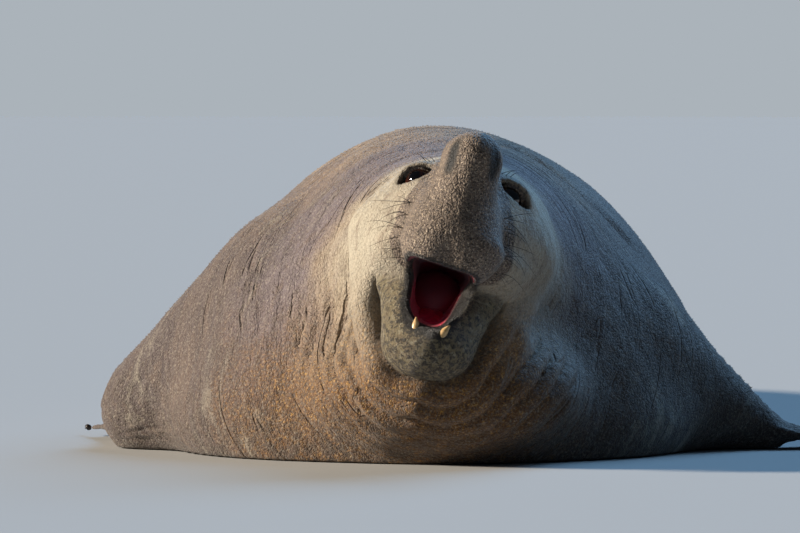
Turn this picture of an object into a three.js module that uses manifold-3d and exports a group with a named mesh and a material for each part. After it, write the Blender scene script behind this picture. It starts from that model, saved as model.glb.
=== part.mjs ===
// A bull southern elephant seal, life size, lying on its belly with its head raised and its mouth open.
// Millimetres, +Z up. The seal faces -Y and its left side is at +X. The ground is z = 0.
import * as THREE from "three";
import { mergeVertices } from "three/addons/utils/BufferGeometryUtils.js";
import Module from "manifold-3d";

const wasm = await Module();
wasm.setup();

// Driving dimensions
const GAP = 0.3; // left between neighbouring pieces

// The head's own frame starts midway between the eyes: a is across, f forward along the snout, u up.
const EYE_MIDDLE = [53, 120, 667];
const HEAD_PITCH = 10; // degrees, snout up
const HEAD_ROLL = 11.5; // degrees, crown leaning to the seal's left

// Each station of the trunk, from the shoulders to the hips
const TRUNK = [
  { y: 900, top: 762, half: 705, middle: -20 },
  { y: 1300, top: 790, half: 728, middle: 12 },
  { y: 1800, top: 778, half: 712, middle: 45 },
  { y: 2400, top: 694, half: 622, middle: 90 },
  { y: 3000, top: 558, half: 485, middle: 150 },
  { y: 3500, top: 425, half: 350, middle: 205 },
  { y: 3900, top: 305, half: 245, middle: 245 },
  { y: 4250, top: 200, half: 165, middle: 270 },
];
const CHEST_REACH = 690; // how far the chest's rounded front lies ahead of the first station
const SLUMP = 1.4; // exponent of the section: 2 is an ellipse, less is a heap that sags outwards
const TUCK = 0.09; // share by which the flanks draw in where they meet the ground
const TUCK_HEIGHT = 130;

const FOLDS = { spacing: 66, depth: 6, from: 16, to: 230 }; // the rolls of skin round the throat

const EYE = { across: 103, forward: -18, up: -14, radius: 37, fissure: 76, open: 36, lid: 6 };
const LOWER_CANINES = [
  { a: -40, f: 160, u: -403, lean: -0.12, length: 48, thick: 14 },
  { a: 15, f: 163, u: -402, lean: 0.5, length: 42, thick: 15 },
];
// The mouth's space, wider at its roof; slope follows the lips, which hang lower on the seal's left
const MOUTH = {
  front: 235, back: -40, frontLevel: -315, backLevel: -245, high: 77, slope: 0.13, gullet: 0.5,
  topMiddle: -9, topHalf: 93, bottomMiddle: -23, bottomHalf: 43,
};
const NECK_END = 590; // where the neck passes into the trunk
const HIPS = 2400;
const ANKLES = 4180;

// Small helpers
const clamp = (v, lo, hi) => Math.min(hi, Math.max(lo, v));
const mix = (a, b, t) => a + (b - a) * t;
const smooth = (lo, hi, v) => {
  const t = clamp((v - lo) / (hi - lo), 0, 1);
  return t * t * (3 - 2 * t);
};
const blend = (a, b, k) => Math.min(a, b) - (Math.max(k - Math.abs(a - b), 0) ** 2) / (4 * k);
const carve = (a, b, k) => -blend(-a, b, k);

function ellipsoid(x, y, z, c, r) {
  const [px, py, pz] = [x - c[0], y - c[1], z - c[2]];
  const near = Math.hypot(px / r[0], py / r[1], pz / r[2]);
  const steep = Math.hypot(px / r[0] ** 2, py / r[1] ** 2, pz / r[2] ** 2);
  return steep < 1e-9 ? -Math.min(...r) : (near * (near - 1)) / steep;
}

// A limb with round ends whose radius runs from ra to rb
function limb(x, y, z, a, ra, b, rb) {
  const [bx, by, bz] = [b[0] - a[0], b[1] - a[1], b[2] - a[2]];
  const [px, py, pz] = [x - a[0], y - a[1], z - a[2]];
  const t = clamp((px * bx + py * by + pz * bz) / (bx * bx + by * by + bz * bz), 0, 1);
  return Math.hypot(px - t * bx, py - t * by, pz - t * bz) - mix(ra, rb, t);
}

// The trunk's value of one kind at any y, smoothly through the stations
function station(y, kind) {
  const last = TRUNK.length - 1;
  const v = clamp(y, TRUNK[0].y, TRUNK[last].y);
  let i = 0;
  while (i < last - 1 && v > TRUNK[i + 1].y) i += 1;
  const slope = (j) => {
    const [p, n] = [Math.max(j - 1, 0), Math.min(j + 1, last)];
    return (TRUNK[n][kind] - TRUNK[p][kind]) / (TRUNK[n].y - TRUNK[p].y);
  };
  const span = TRUNK[i + 1].y - TRUNK[i].y;
  const t = (v - TRUNK[i].y) / span;
  const [h00, h10] = [(1 + 2 * t) * (1 - t) ** 2, t * (1 - t) ** 2];
  const [h01, h11] = [t * t * (3 - 2 * t), t * t * (t - 1)];
  return h00 * TRUNK[i][kind] + h10 * span * slope(i) + h01 * TRUNK[i + 1][kind] + h11 * span * slope(i + 1);
}

// The head's frame
const rad = THREE.MathUtils.degToRad;
const headTurn = (() => {
  const [sp, cp] = [Math.sin(rad(HEAD_PITCH)), Math.cos(rad(HEAD_PITCH))];
  const [sr, cr] = [Math.sin(rad(HEAD_ROLL)), Math.cos(rad(HEAD_ROLL))];
  const up = new THREE.Vector3(0, sp, cp);
  const across = new THREE.Vector3(1, 0, 0);
  return {
    forward: new THREE.Vector3(0, -cp, sp),
    across: across.clone().multiplyScalar(cr).addScaledVector(up, -sr),
    up: up.clone().multiplyScalar(cr).addScaledVector(across, sr),
  };
})();
const headMatrix = new THREE.Matrix4()
  .makeBasis(headTurn.across, headTurn.forward, headTurn.up)
  .setPosition(...EYE_MIDDLE);

function inHead(x, y, z) {
  const [dx, dy, dz] = [x - EYE_MIDDLE[0], y - EYE_MIDDLE[1], z - EYE_MIDDLE[2]];
  const dot = (v) => dx * v.x + dy * v.y + dz * v.z;
  return [dot(headTurn.across), dot(headTurn.forward), dot(headTurn.up)];
}

// Signed fields, in millimetres: negative inside
function trunkField(x, y, z) {
  const [top, half, middle] = ["top", "half", "middle"].map((kind) => station(y, kind));
  const low = clamp(1 - z / TUCK_HEIGHT, 0, 1.4);
  const w = half * (1 - TUCK * low * low);
  const ahead = Math.max(TRUNK[0].y - y, 0) / CHEST_REACH;
  const behind = Math.max(y - TRUNK[TRUNK.length - 1].y, 0) / 150;
  const across = (x - middle) / w;
  const rise = Math.max(z, 0) / top;
  const value = across * across + ahead * ahead + behind * behind + rise ** SLUMP - 1;
  const steep = Math.hypot(
    (2 * across) / w,
    (2 * ahead) / CHEST_REACH,
    (2 * behind) / 150,
    (SLUMP * rise ** (SLUMP - 1)) / top,
  );
  return value / Math.max(steep, 0.0009);
}

function bodyField(x, y, z) {
  let d = trunkField(x, y, z);
  d = blend(d, limb(x, y, z, [45, 330, 500], 220, [0, 950, 400], 360), 160);
  d = blend(d, ellipsoid(x, y, z, [15, 340, 170], [330, 330, 180]), 90);
  // shoulders and upper arms
  d = blend(d, limb(x, y, z, [470, 830, 205], 195, [800, 900, 40], 62), 110);
  d = blend(d, limb(x, y, z, [-390, 850, 395], 165, [-700, 930, 105], 145), 110);
  for (const side of [-1, 1])
    d = blend(d, limb(x, y, z, [262 + side * 60, 3900, 115], 95, [270 + side * 88, 4230, 66], 62), 50);
  return blend(d, limb(x, y, z, [-715, 960, 85], 100, [-800, 1230, 40], 50), 60);
}

function upperHead(a, f, u) {
  const m = Math.abs(a);
  let d = ellipsoid(a, f, u, [0, -130, -75], [174, 245, 125]);
  d = blend(d, ellipsoid(m, f, u, [78, -60, -140], [108, 165, 125]), 60);
  // brow and cheek round the eye
  d = blend(d, ellipsoid(m, f, u, [98, -22, -4], [56, 56, 42]), 30);
  d = blend(d, limb(a, f, u, [0, -20, -110], 118, [0, 110, -120], 100), 50);
  // upper lip, a broad pad with a fuller half on either side
  const pad = ellipsoid(a, f, u, [4, 146, -158], [108, 86, 96]);
  d = blend(d, blend(pad, ellipsoid(m, f, u, [46, 150, -188], [60, 74, 70]), 40), 26);
  let nose = limb(a, f, u, [0, -40, -34], 84, [3, 96, 41], 66);
  nose = blend(nose, limb(a, f, u, [3, 96, 41], 66, [14, 160, 41], 65), 20);
  nose = blend(nose, limb(a, f, u, [13, 152, 26], 64, [0, 132, -120], 102), 26);
  d = blend(d, nose, 30);
  // nostrils, a slit in either side of the tip
  const slit = limb(Math.abs(a - 13), f, u, [59, 210, 84], 11, [65, 205, 6], 12);
  return carve(d, slit, 16);
}

function lowerJaw(a, f, u) {
  const m = Math.abs(a + 8);
  let d = limb(m, f, u, [92, -110, -205], 76, [66, 70, -342], 58);
  d = blend(d, ellipsoid(a + 8, f, u, [0, 92, -404], [110, 92, 84]), 36);
  return blend(d, limb(m, f, u, [84, -120, -290], 76, [40, 10, -412], 78), 40);
}

// The first roll of the throat, in which the opened jaw is bedded
function jowl(a, f, u) {
  const m = Math.abs(a + 4);
  let d = limb(m, f, u, [178, -110, -150], 70, [150, -50, -330], 64);
  d = blend(d, limb(m, f, u, [150, -50, -330], 64, [84, -8, -452], 60), 20);
  return blend(d, limb(m, f, u, [84, -8, -452], 60, [0, 4, -490], 58), 20);
}

function mouthField(a, f, u) {
  const t = clamp((f - MOUTH.back) / (MOUTH.front - MOUTH.back), 0, 1);
  const size = mix(MOUTH.gullet, 1, Math.sqrt(t));
  const rise = u + MOUTH.slope * (a - MOUTH.topMiddle) - mix(MOUTH.backLevel, MOUTH.frontLevel, t);
  const level = clamp(rise / (2 * MOUTH.high * size) + 0.5, 0, 1);
  const wide = size * mix(MOUTH.bottomHalf, MOUTH.topHalf, level);
  const aside = Math.abs(a - mix(MOUTH.bottomMiddle, MOUTH.topMiddle, level)) - wide;
  return carve(carve(aside, MOUTH.high * size - Math.abs(rise), 34), f - MOUTH.back, 30);
}

function sealField(x, y, z) {
  const [a, f, u] = inHead(x, y, z);
  const skull = upperHead(a, f, u);
  const jaw = lowerJaw(a, f, u);
  const away = blend(skull, jaw, 30);
  let d = blend(bodyField(x, y, z), jowl(a, f, u), 70);
  // rolls that run round the jaw, deepest under it
  const side = smooth(-230, -400, u) * (1 - smooth(110, 190, Math.abs(a)));
  const reach = smooth(FOLDS.from, FOLDS.from + 40, away) * (1 - smooth(FOLDS.to - 140, FOLDS.to, away));
  const phase = (away + 7 * Math.sin(a / 47) + 5 * Math.sin((f + u) / 61)) / FOLDS.spacing;
  d += FOLDS.depth * side * reach * smooth(150, 230, z) * Math.cos(2 * Math.PI * phase);
  d = blend(skull, d, mix(22, 130, smooth(-300, -100, u)));
  return blend(jaw, d, mix(16, 60, smooth(-300, -180, u)));
}

// Steps from lo to hi of about the size that pace gives at each place
function steps(lo, hi, pace) {
  const out = [lo];
  while (out[out.length - 1] < hi) out.push(out[out.length - 1] + pace(out[out.length - 1]));
  return out;
}

// A closed surface where the field is zero, on a grid of uneven steps
function surfaceOf(field, xs, ys, zs) {
  const [nx, ny, nz] = [xs.length, ys.length, zs.length];
  const at = (i, j, k) => (k * ny + j) * nx + i;
  const value = new Float64Array(nx * ny * nz).fill(1);
  for (let k = 1; k < nz - 1; k++)
    for (let j = 1; j < ny - 1; j++)
      for (let i = 1; i < nx - 1; i++) value[at(i, j, k)] = field(xs[i], ys[j], zs[k]) || 1e-6;
  const vertex = new Int32Array(nx * ny * nz).fill(-1);
  const points = [];
  const faces = [];
  const corners = [0, 1, 2, 3, 4, 5, 6, 7].map((n) => [n & 1, (n >> 1) & 1, n >> 2]);
  const edges = [];
  for (let n = 0; n < 8; n++) for (const bit of [1, 2, 4]) if (!(n & bit)) edges.push([n, n | bit]);
  for (let k = 0; k < nz - 1; k++)
    for (let j = 0; j < ny - 1; j++)
      for (let i = 0; i < nx - 1; i++) {
        const v = corners.map(([a, b, c]) => value[at(i + a, j + b, k + c)]);
        if (v.every((q) => q < 0) || v.every((q) => q >= 0)) continue;
        const sum = [0, 0, 0];
        let crossings = 0;
        for (const [p, q] of edges) {
          if (v[p] < 0 === v[q] < 0) continue;
          const t = v[p] / (v[p] - v[q]);
          sum[0] += mix(xs[i + corners[p][0]], xs[i + corners[q][0]], t);
          sum[1] += mix(ys[j + corners[p][1]], ys[j + corners[q][1]], t);
          sum[2] += mix(zs[k + corners[p][2]], zs[k + corners[q][2]], t);
          crossings += 1;
        }
        const rim = i < 1 || j < 1 || k < 1 || i > nx - 3 || j > ny - 3 || k > nz - 3;
        const p = sum.map((s) => s / crossings);
        const reach = 0.4 * Math.min(xs[i + 1] - xs[i], ys[j + 1] - ys[j], zs[k + 1] - zs[k]);
        vertex[at(i, j, k)] = points.length;
        points.push(rim ? p : settle(field, p, reach));
      }
  const quad = (a, b, c, d, flip) => {
    const gap = (p, q) => Math.hypot(...points[p].map((s, n) => s - points[q][n]));
    const split = gap(a, c) < gap(b, d) ? [a, b, c, a, c, d] : [a, b, d, b, c, d];
    if (flip) split.reverse();
    faces.push(...split);
  };
  for (let k = 0; k < nz - 1; k++)
    for (let j = 0; j < ny - 1; j++)
      for (let i = 0; i < nx - 1; i++) {
        const here = value[at(i, j, k)] < 0;
        const cell = (a, b, c) => vertex[at(i - a, j - b, k - c)];
        if (here !== value[at(i + 1, j, k)] < 0)
          quad(cell(0, 1, 1), cell(0, 0, 1), cell(0, 0, 0), cell(0, 1, 0), !here);
        if (here !== value[at(i, j + 1, k)] < 0)
          quad(cell(1, 0, 1), cell(1, 0, 0), cell(0, 0, 0), cell(0, 0, 1), !here);
        if (here !== value[at(i, j, k + 1)] < 0)
          quad(cell(1, 1, 0), cell(0, 1, 0), cell(0, 0, 0), cell(1, 0, 0), !here);
      }
  const geometry = new THREE.BufferGeometry();
  geometry.setAttribute("position", new THREE.Float32BufferAttribute(points.flat(), 3));
  geometry.setIndex(faces);
  return geometry;
}

// Moves a point onto the surface, by at most reach at each of three tries
function settle(field, start, reach) {
  const p = [...start];
  const e = 2;
  for (let n = 0; n < 3; n++) {
    const here = field(...p);
    const slope = [0, 1, 2].map((i) => {
      const q = [...p];
      q[i] += e;
      return (field(...q) - here) / e;
    });
    const steep = slope.reduce((s, g) => s + g * g, 1e-9);
    slope.forEach((g, i) => {
      p[i] += clamp((-here * g) / steep, -reach, reach);
    });
  }
  return p;
}

// Solids
function solid(geometry, matrix = new THREE.Matrix4()) {
  const bare = geometry.clone().applyMatrix4(matrix);
  bare.deleteAttribute("normal");
  bare.deleteAttribute("uv");
  const merged = mergeVertices(bare, 1e-3);
  if (matrix.determinant() < 0) merged.index.array.reverse();
  return new wasm.Manifold(
    new wasm.Mesh({
      numProp: 3,
      vertProperties: new Float32Array(merged.attributes.position.array),
      triVerts: new Uint32Array(merged.index.array),
    }),
  );
}

const largest = (made) => made.decompose().sort((p, q) => q.volume() - p.volume())[0];

// A block that fills the side of a plane which the normal points to
function beyond(point, normal) {
  const size = 12000;
  const n = normal.clone().normalize();
  const turn = new THREE.Quaternion().setFromUnitVectors(new THREE.Vector3(0, 0, 1), n);
  const centre = point.clone().addScaledVector(n, size / 2);
  return solid(
    new THREE.BoxGeometry(size, size, size),
    new THREE.Matrix4().compose(centre, turn, new THREE.Vector3(1, 1, 1)),
  );
}

// Both sides of a cut by one plane or a corner of several, with the gap between them.
// The second piece lies beyond every plane.
function part(whole, planes) {
  const shifted = (by) =>
    planes
      .map(([p, n]) => beyond(vec(...p).addScaledVector(vec(...n).normalize(), by), vec(...n)))
      .reduce((corner, next) => corner.intersect(next));
  return [largest(whole.subtract(shifted(-GAP / 2))), largest(whole.intersect(shifted(GAP / 2)))];
}

function vec(x, y, z) {
  return new THREE.Vector3(x, y, z);
}
const headPoint = (a, f, u) => vec(a, f, u).applyMatrix4(headMatrix);
const toWorld = (plane) => {
  const [p, n] = plane;
  return [headPoint(...p).toArray(), vec(...n).transformDirection(headMatrix).toArray()];
};

// A closed skin over two grids of points, an upper and a lower one, row by row
function plate(upper, lower) {
  const [rows, columns] = [upper.length, upper[0].length];
  const points = [...upper.flat(), ...lower.flat()];
  const at = (side, i, j) => side * rows * columns + i * columns + j;
  const faces = [];
  const quad = (a, b, c, d) => faces.push(a, b, c, a, c, d);
  for (let i = 0; i < rows - 1; i++)
    for (let j = 0; j < columns - 1; j++) {
      quad(at(0, i, j), at(0, i, j + 1), at(0, i + 1, j + 1), at(0, i + 1, j));
      quad(at(1, i, j), at(1, i + 1, j), at(1, i + 1, j + 1), at(1, i, j + 1));
    }
  const rim = [];
  for (let j = 0; j < columns - 1; j++) rim.push([0, j]);
  for (let i = 0; i < rows - 1; i++) rim.push([i, columns - 1]);
  for (let j = columns - 1; j > 0; j--) rim.push([rows - 1, j]);
  for (let i = rows - 1; i > 0; i--) rim.push([i, 0]);
  rim.forEach((here, n) => {
    const next = rim[(n + 1) % rim.length];
    quad(at(1, ...here), at(1, ...next), at(0, ...next), at(0, ...here));
  });
  return facingOut(points, faces);
}

function facingOut(points, faces) {
  const corner = (n) => points[faces[n]].clone();
  let volume = 0;
  for (let n = 0; n < faces.length; n += 3) volume += corner(n).dot(corner(n + 1).cross(corner(n + 2)));
  if (volume < 0) faces.reverse();
  const geometry = new THREE.BufferGeometry();
  const position = points.flatMap((p) => p.toArray());
  geometry.setAttribute("position", new THREE.Float32BufferAttribute(position, 3));
  geometry.setIndex(faces);
  return geometry;
}

// A horn along a bent curve of three points, thick at its root
function horn(points, thick, sides = 8, rows = 5) {
  const curve = new THREE.QuadraticBezierCurve3(...points);
  const side = points[1].clone().sub(points[0]).cross(points[2].clone().sub(points[1])).normalize();
  const rings = [];
  for (let i = 0; i <= rows; i++) {
    const t = (i / rows) * 0.98;
    const along = curve.getTangent(t);
    const up = along.clone().cross(side);
    const radius = thick * (1 - 0.93 * t ** 1.7);
    const ring = [];
    for (let j = 0; j < sides; j++) {
      const turn = (2 * Math.PI * j) / sides;
      const out = side.clone().multiplyScalar(Math.cos(turn) * radius);
      ring.push(curve.getPoint(t).add(out.addScaledVector(up, Math.sin(turn) * radius)));
    }
    rings.push(ring);
  }
  const vertices = [...rings.flat(), curve.getPoint(0), curve.getPoint(1)];
  const faces = [];
  for (let i = 0; i < rows; i++)
    for (let j = 0; j < sides; j++) {
      const [a, b] = [i * sides + j, i * sides + ((j + 1) % sides)];
      faces.push(a, b, b + sides, a, b + sides, a + sides);
    }
  for (let j = 0; j < sides; j++) {
    const next = (j + 1) % sides;
    faces.push(vertices.length - 2, next, j);
    faces.push(vertices.length - 1, rows * sides + j, rows * sides + next);
  }
  return facingOut(vertices, faces);
}

// A flipper's hand or foot: five digits in a web, spread from one point behind its root.
// The turn of each digit runs from the leading to the trailing edge.
function fan({ root, heading, tilt, rootHalf, rootThick, turns, lengths, thick, droop }) {
  const rows = 9;
  const perDigit = 2;
  const columns = (turns.length - 1) * perDigit + 1;
  const forward = vec(...heading).normalize();
  const up = vec(0, 0, 1).addScaledVector(forward, -forward.z).normalize();
  const across = forward.clone().cross(up);
  const behind = rootHalf / Math.tan(rad(Math.max(...turns.map(Math.abs))));
  const apex = vec(...root).addScaledVector(forward, -behind);
  up.applyAxisAngle(forward, rad(tilt));
  across.applyAxisAngle(forward, rad(tilt));
  const [upper, lower] = [[], []];
  for (let i = 0; i < rows; i++) {
    const t = i / (rows - 1);
    const [top, bottom] = [[], []];
    for (let j = 0; j < columns; j++) {
      const k = Math.min(Math.floor(j / perDigit), turns.length - 2);
      const between = j / perDigit - k;
      const turn = rad(mix(turns[k], turns[k + 1], between));
      const web = Math.sin(Math.PI * between);
      const length = mix(lengths[k], lengths[k + 1], between) * (1 - 0.1 * web);
      const s = (2 * j) / (columns - 1) - 1;
      const out = forward.clone().multiplyScalar(Math.cos(turn)).addScaledVector(across, Math.sin(turn));
      const p = apex.clone().addScaledVector(out, behind + length * t).addScaledVector(up, -droop * t * t);
      const round = Math.sqrt(Math.max(1 - 0.8 * s * s, 0));
      const body = mix(rootThick * round, thick * (1 - 0.5 * web) * (0.6 + 0.4 * round), smooth(0, 0.55, t));
      const h = body * (1 - 0.55 * smooth(0.75, 1, t)) * (Math.abs(s) > 0.99 ? 0.6 : 1);
      top.push(p.clone().addScaledVector(up, h));
      bottom.push(p.clone().addScaledVector(up, -h));
    }
    upper.push(top);
    lower.push(bottom);
  }
  return { geometry: plate(upper, lower), upper, lower, forward, up, perDigit };
}

// Claws on the digits of a fore flipper, with their roots sunk in it
function clawed(hand, length, thick) {
  const last = hand.upper.length - 1;
  let made = solid(hand.geometry);
  for (let j = 0; j < hand.upper[0].length; j += hand.perDigit) {
    const [q, p] = [hand.upper[last - 1][j], hand.upper[last][j]];
    const middle = p.clone().add(hand.lower[last][j]).multiplyScalar(0.5);
    const along = p.clone().sub(q).setZ(0).normalize();
    const base = middle.clone().addScaledVector(along, -0.35 * length);
    const bend = middle.clone().addScaledVector(along, 0.25 * length).addScaledVector(hand.up, 6);
    const tip = middle.clone().addScaledVector(along, 0.65 * length).setZ(Math.max(middle.z - 6, 3));
    made = made.add(solid(horn([base, bend, tip], thick, 6, 4)));
  }
  return made;
}

const ground = beyond(vec(0, 0, 0), vec(0, 0, 1));
const NECK_CUT = [[[0, 195, 440], [0, 0.86, -0.51]]];
const NOSE_CUT = [[[0, 66, 0], [0, 1, 0.06]], [[0, 0, -262], [0, 0, 1]]].map(toWorld);
const JAW_CUT = [[[0, 0, -262], [0, -0.28, -1]], [[0, -62, 0], [0, 1, 0.3]]].map(toWorld);
const LEFT_ARM_CUT = [[[722, 900, 0], [0.93, -0.37, 0]]];
const RIGHT_ARM_CUT = [[[-738, 0, 0], [-1, 0, 0]], [[0, 1060, 0], [0, 1, 0]]];

// Head, neck and chest come from the finer net
const foreNet = solid(
  surfaceOf(
    sealField,
    steps(-760, 760, (x) => (x > -165 && x < 275 ? 22 : Math.abs(x) > 480 ? 46 : 66)),
    steps(-235, 700, (y) => (y < 215 ? 22 : 62)),
    steps(-60, 880, (z) => (z > 150 && z < 780 ? 22.5 : 46)),
  ),
).intersect(ground);
const rearNet = solid(
  surfaceOf(
    sealField,
    steps(-960, 1010, (x) => (Math.abs(x) > 640 ? 44 : 92)),
    steps(440, 4400, (y) => (y < 1330 ? 62 : y < 3900 ? 140 : 60)),
    steps(-60, 880, () => 72),
  ),
).intersect(ground);
const [fore] = part(foreNet, [[[0, NECK_END, 0], [0, 1, 0]]]);
const [, rear] = part(rearNet, [[[0, NECK_END, 0], [0, 1, 0]]]);
const [headShut, neck] = part(fore, NECK_CUT);
const mouthSpace = solid(
  surfaceOf(
    mouthField,
    steps(-150, 150, () => 19),
    steps(-75, 250, () => 27),
    steps(-440, -170, () => 18),
  ),
  headMatrix,
);
const headAll = largest(headShut.subtract(mouthSpace));
const [trunk, hips] = part(rear, [[[0, HIPS, 0], [0, 1, 0]]]);
const [withRight, leftArm] = part(trunk, LEFT_ARM_CUT);
const [torso, rightArm] = part(withRight, RIGHT_ARM_CUT);
const [hindquarters] = part(hips, [[[0, ANKLES, 0], [0, 1, 0]]]);

// Eyes: a ball behind lids that leave a slanting almond open
let face = headAll;
const eyes = {};
for (const [name, side] of [["eye_left", 1], ["eye_right", -1]]) {
  const centre = headPoint(side * EYE.across, EYE.forward, EYE.up);
  const look = vec(side * 0.5, 0.8, 0.33).normalize();
  const along = vec(side * 0.8, -0.5, -0.52).projectOnPlane(look).normalize();
  const turn = new THREE.Matrix4().makeBasis(along, look.clone().cross(along), look);
  const frame = headMatrix.clone().setPosition(centre).multiply(turn);
  const ball = (radius) => solid(new THREE.SphereGeometry(radius, 16, 11).rotateX(Math.PI / 2), frame);
  const almond = new THREE.Shape();
  const [w, h] = [EYE.fissure / 2, EYE.open / 2];
  almond.moveTo(-w, 0);
  almond.quadraticCurveTo(-w * 0.25, h * 2.1, w, 0);
  almond.quadraticCurveTo(-w * 0.1, -h * 1.8, -w, 0);
  const opening = new THREE.ExtrudeGeometry(almond, { depth: 70, bevelEnabled: false, curveSegments: 7 });
  face = face.add(ball(EYE.radius + EYE.lid)).subtract(solid(opening.translate(0, 0, 12), frame));
  face = face.subtract(ball(EYE.radius + GAP + 0.1));
  eyes[name] = ball(EYE.radius);
}
face = largest(face);
const [noNose, proboscis] = part(face, NOSE_CUT);
const [head, jawWhole] = part(noNose, JAW_CUT);

// Lower canines and tongue stand in the jaw's flesh, which is cut away round them
let jaw = jawWhole;
const mouth = {};
LOWER_CANINES.forEach(({ a, f, u, lean, length, thick }, n) => {
  const tooth = (grow) => {
    const base = headPoint(a, f - 14, u - 22 - grow);
    const bend = headPoint(a + lean * 8, f + 12, u + length * 0.5);
    const tip = headPoint(a + lean * length, f + 4, u + length + grow);
    return solid(horn([base, bend, tip], thick + grow));
  };
  mouth[n ? "canine_left" : "canine_right"] = tooth(0);
  jaw = jaw.subtract(tooth(GAP + 0.2));
});
const tongueShape = (grow) => {
  const c = headPoint(-16, 40, -352);
  const ball = new THREE.SphereGeometry(1, 14, 8).scale(44 + grow, 100 + grow, 34 + grow);
  const lie = headMatrix.clone().multiply(new THREE.Matrix4().makeRotationX(rad(-20))).setPosition(c);
  return solid(ball, lie);
};
const tongueCut = tongueShape(GAP + 0.3);
mouth.tongue = tongueShape(0);
jaw = largest(jaw.subtract(tongueCut));
const skull = largest(head.subtract(tongueCut));

// Flippers
const leftHand = fan({
  root: [800, 900, 42], heading: [0.96, 0.28, -0.03], tilt: 0, rootHalf: 62, rootThick: 36,
  turns: [-13, -6, 2, 11, 22], lengths: [345, 335, 300, 255, 205], thick: 15, droop: 16,
});
const rightHand = fan({
  root: [-790, 1190, 38], heading: [0.04, 0.99, -0.02], tilt: 0, rootHalf: 50, rootThick: 34,
  turns: [-15, -8, -1, 6, 13], lengths: [320, 310, 280, 240, 195], thick: 14, droop: 12,
});
const foreLeft = largest(leftArm.add(clawed(leftHand, 46, 8)).intersect(ground));
const foreRight = largest(rightArm.add(clawed(rightHand, 46, 8)).intersect(ground));
const feet = {};
for (const [name, side] of [["hind_flipper_left", 1], ["hind_flipper_right", -1]]) {
  const foot = fan({
    root: [270 + side * 88, 4110, 76], heading: [side * 0.2, 0.97, -0.06], tilt: side * 24,
    rootHalf: 58, rootThick: 58, turns: [-20, -10, 0, 10, 20], lengths: [500, 430, 395, 430, 490],
    thick: 15, droop: 6,
  });
  const whole = solid(foot.geometry).intersect(ground);
  feet[name] = part(whole, [[[0, ANKLES, 0], [0, 1, 0]], [[270, 0, 0], [side, 0, 0]]])[1];
}
const tailShape = solid(horn([vec(268, 4130, 150), vec(270, 4230, 128), vec(272, 4310, 96)], 42, 12, 6));
let tail = part(tailShape, [[[0, ANKLES, 0], [0, 1, 0]]])[1];
for (const foot of Object.values(feet)) tail = tail.subtract(foot);

// Joins points that all but coincide, and drops the triangles that this closes up
function withoutSlivers(geometry) {
  const merged = mergeVertices(geometry, 0.05);
  const index = merged.index.array;
  const kept = [];
  for (let n = 0; n < index.length; n += 3) {
    const [a, b, c] = index.slice(n, n + 3);
    if (a !== b && b !== c && c !== a) kept.push(a, b, c);
  }
  merged.setIndex(kept);
  return merged;
}

const seal = new THREE.Group();
function addNode(name, made, look) {
  const mesh = made.getMesh();
  const geometry = new THREE.BufferGeometry();
  const position = new Float32Array(mesh.numVert * 3);
  for (let i = 0; i < mesh.numVert; i++)
    position.set(mesh.vertProperties.subarray(i * mesh.numProp, i * mesh.numProp + 3), i * 3);
  geometry.setAttribute("position", new THREE.BufferAttribute(position, 3));
  geometry.setIndex(new THREE.BufferAttribute(mesh.triVerts, 1));
  const node = new THREE.Mesh(withoutSlivers(geometry), look);
  node.name = name;
  seal.add(node);
}
const paint = (color, roughness) => new THREE.MeshStandardMaterial({ color, roughness, metalness: 0 });
const hide = paint(0x9a8470, 0.8);
const noseHide = paint(0x5e5349, 0.8);
const wet = paint(0x120c0b, 0.1);
const ivory = paint(0xcfa878, 0.4);
const flesh = paint(0x6e1c26, 0.4);
addNode("head", skull, hide);
addNode("proboscis", proboscis, noseHide);
addNode("lower_jaw", jaw, hide);
addNode("neck", neck, hide);
addNode("torso", torso, hide);
addNode("hindquarters", hindquarters, hide);
addNode("fore_flipper_left", foreLeft, hide);
addNode("fore_flipper_right", foreRight, hide);
for (const [name, made] of Object.entries(feet)) addNode(name, made, hide);
addNode("tail", largest(tail), hide);
for (const [name, made] of Object.entries(eyes)) addNode(name, made, wet);
addNode("canine_left", mouth.canine_left, ivory);
addNode("canine_right", mouth.canine_right, ivory);
addNode("tongue", mouth.tongue, flesh);

// The origin lies at the middle of the footprint
const box = new THREE.Box3().setFromObject(seal);
const centre = box.getCenter(new THREE.Vector3());
for (const node of seal.children) node.geometry.translate(-centre.x, -centre.y, -box.min.z);

export default seal;
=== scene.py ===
# Bull southern elephant seal, still and life size, lying on its belly with its mouth open
import math

import bpy
import numpy as np
import bmesh
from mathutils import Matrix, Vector


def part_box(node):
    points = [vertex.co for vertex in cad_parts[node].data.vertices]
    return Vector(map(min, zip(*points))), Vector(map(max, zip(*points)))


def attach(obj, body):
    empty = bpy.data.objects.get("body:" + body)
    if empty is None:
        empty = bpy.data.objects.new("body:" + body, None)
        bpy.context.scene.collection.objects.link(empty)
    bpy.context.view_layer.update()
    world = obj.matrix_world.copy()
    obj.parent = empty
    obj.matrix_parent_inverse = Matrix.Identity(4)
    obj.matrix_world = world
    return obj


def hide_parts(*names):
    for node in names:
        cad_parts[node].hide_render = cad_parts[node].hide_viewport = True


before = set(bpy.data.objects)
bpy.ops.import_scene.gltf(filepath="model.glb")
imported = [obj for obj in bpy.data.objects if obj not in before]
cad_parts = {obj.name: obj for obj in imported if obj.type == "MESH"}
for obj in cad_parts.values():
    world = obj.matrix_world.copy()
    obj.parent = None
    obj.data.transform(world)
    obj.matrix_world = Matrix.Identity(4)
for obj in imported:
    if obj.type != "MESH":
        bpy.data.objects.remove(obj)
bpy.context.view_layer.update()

# Everything is shaped in millimetres in the pose's own axes, then moved onto the frame in metres.
eyeMiddle = np.array([53.0, 120.0, 667.0])
headPose = {"pitch": 10.0, "roll": 11.5}
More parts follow.
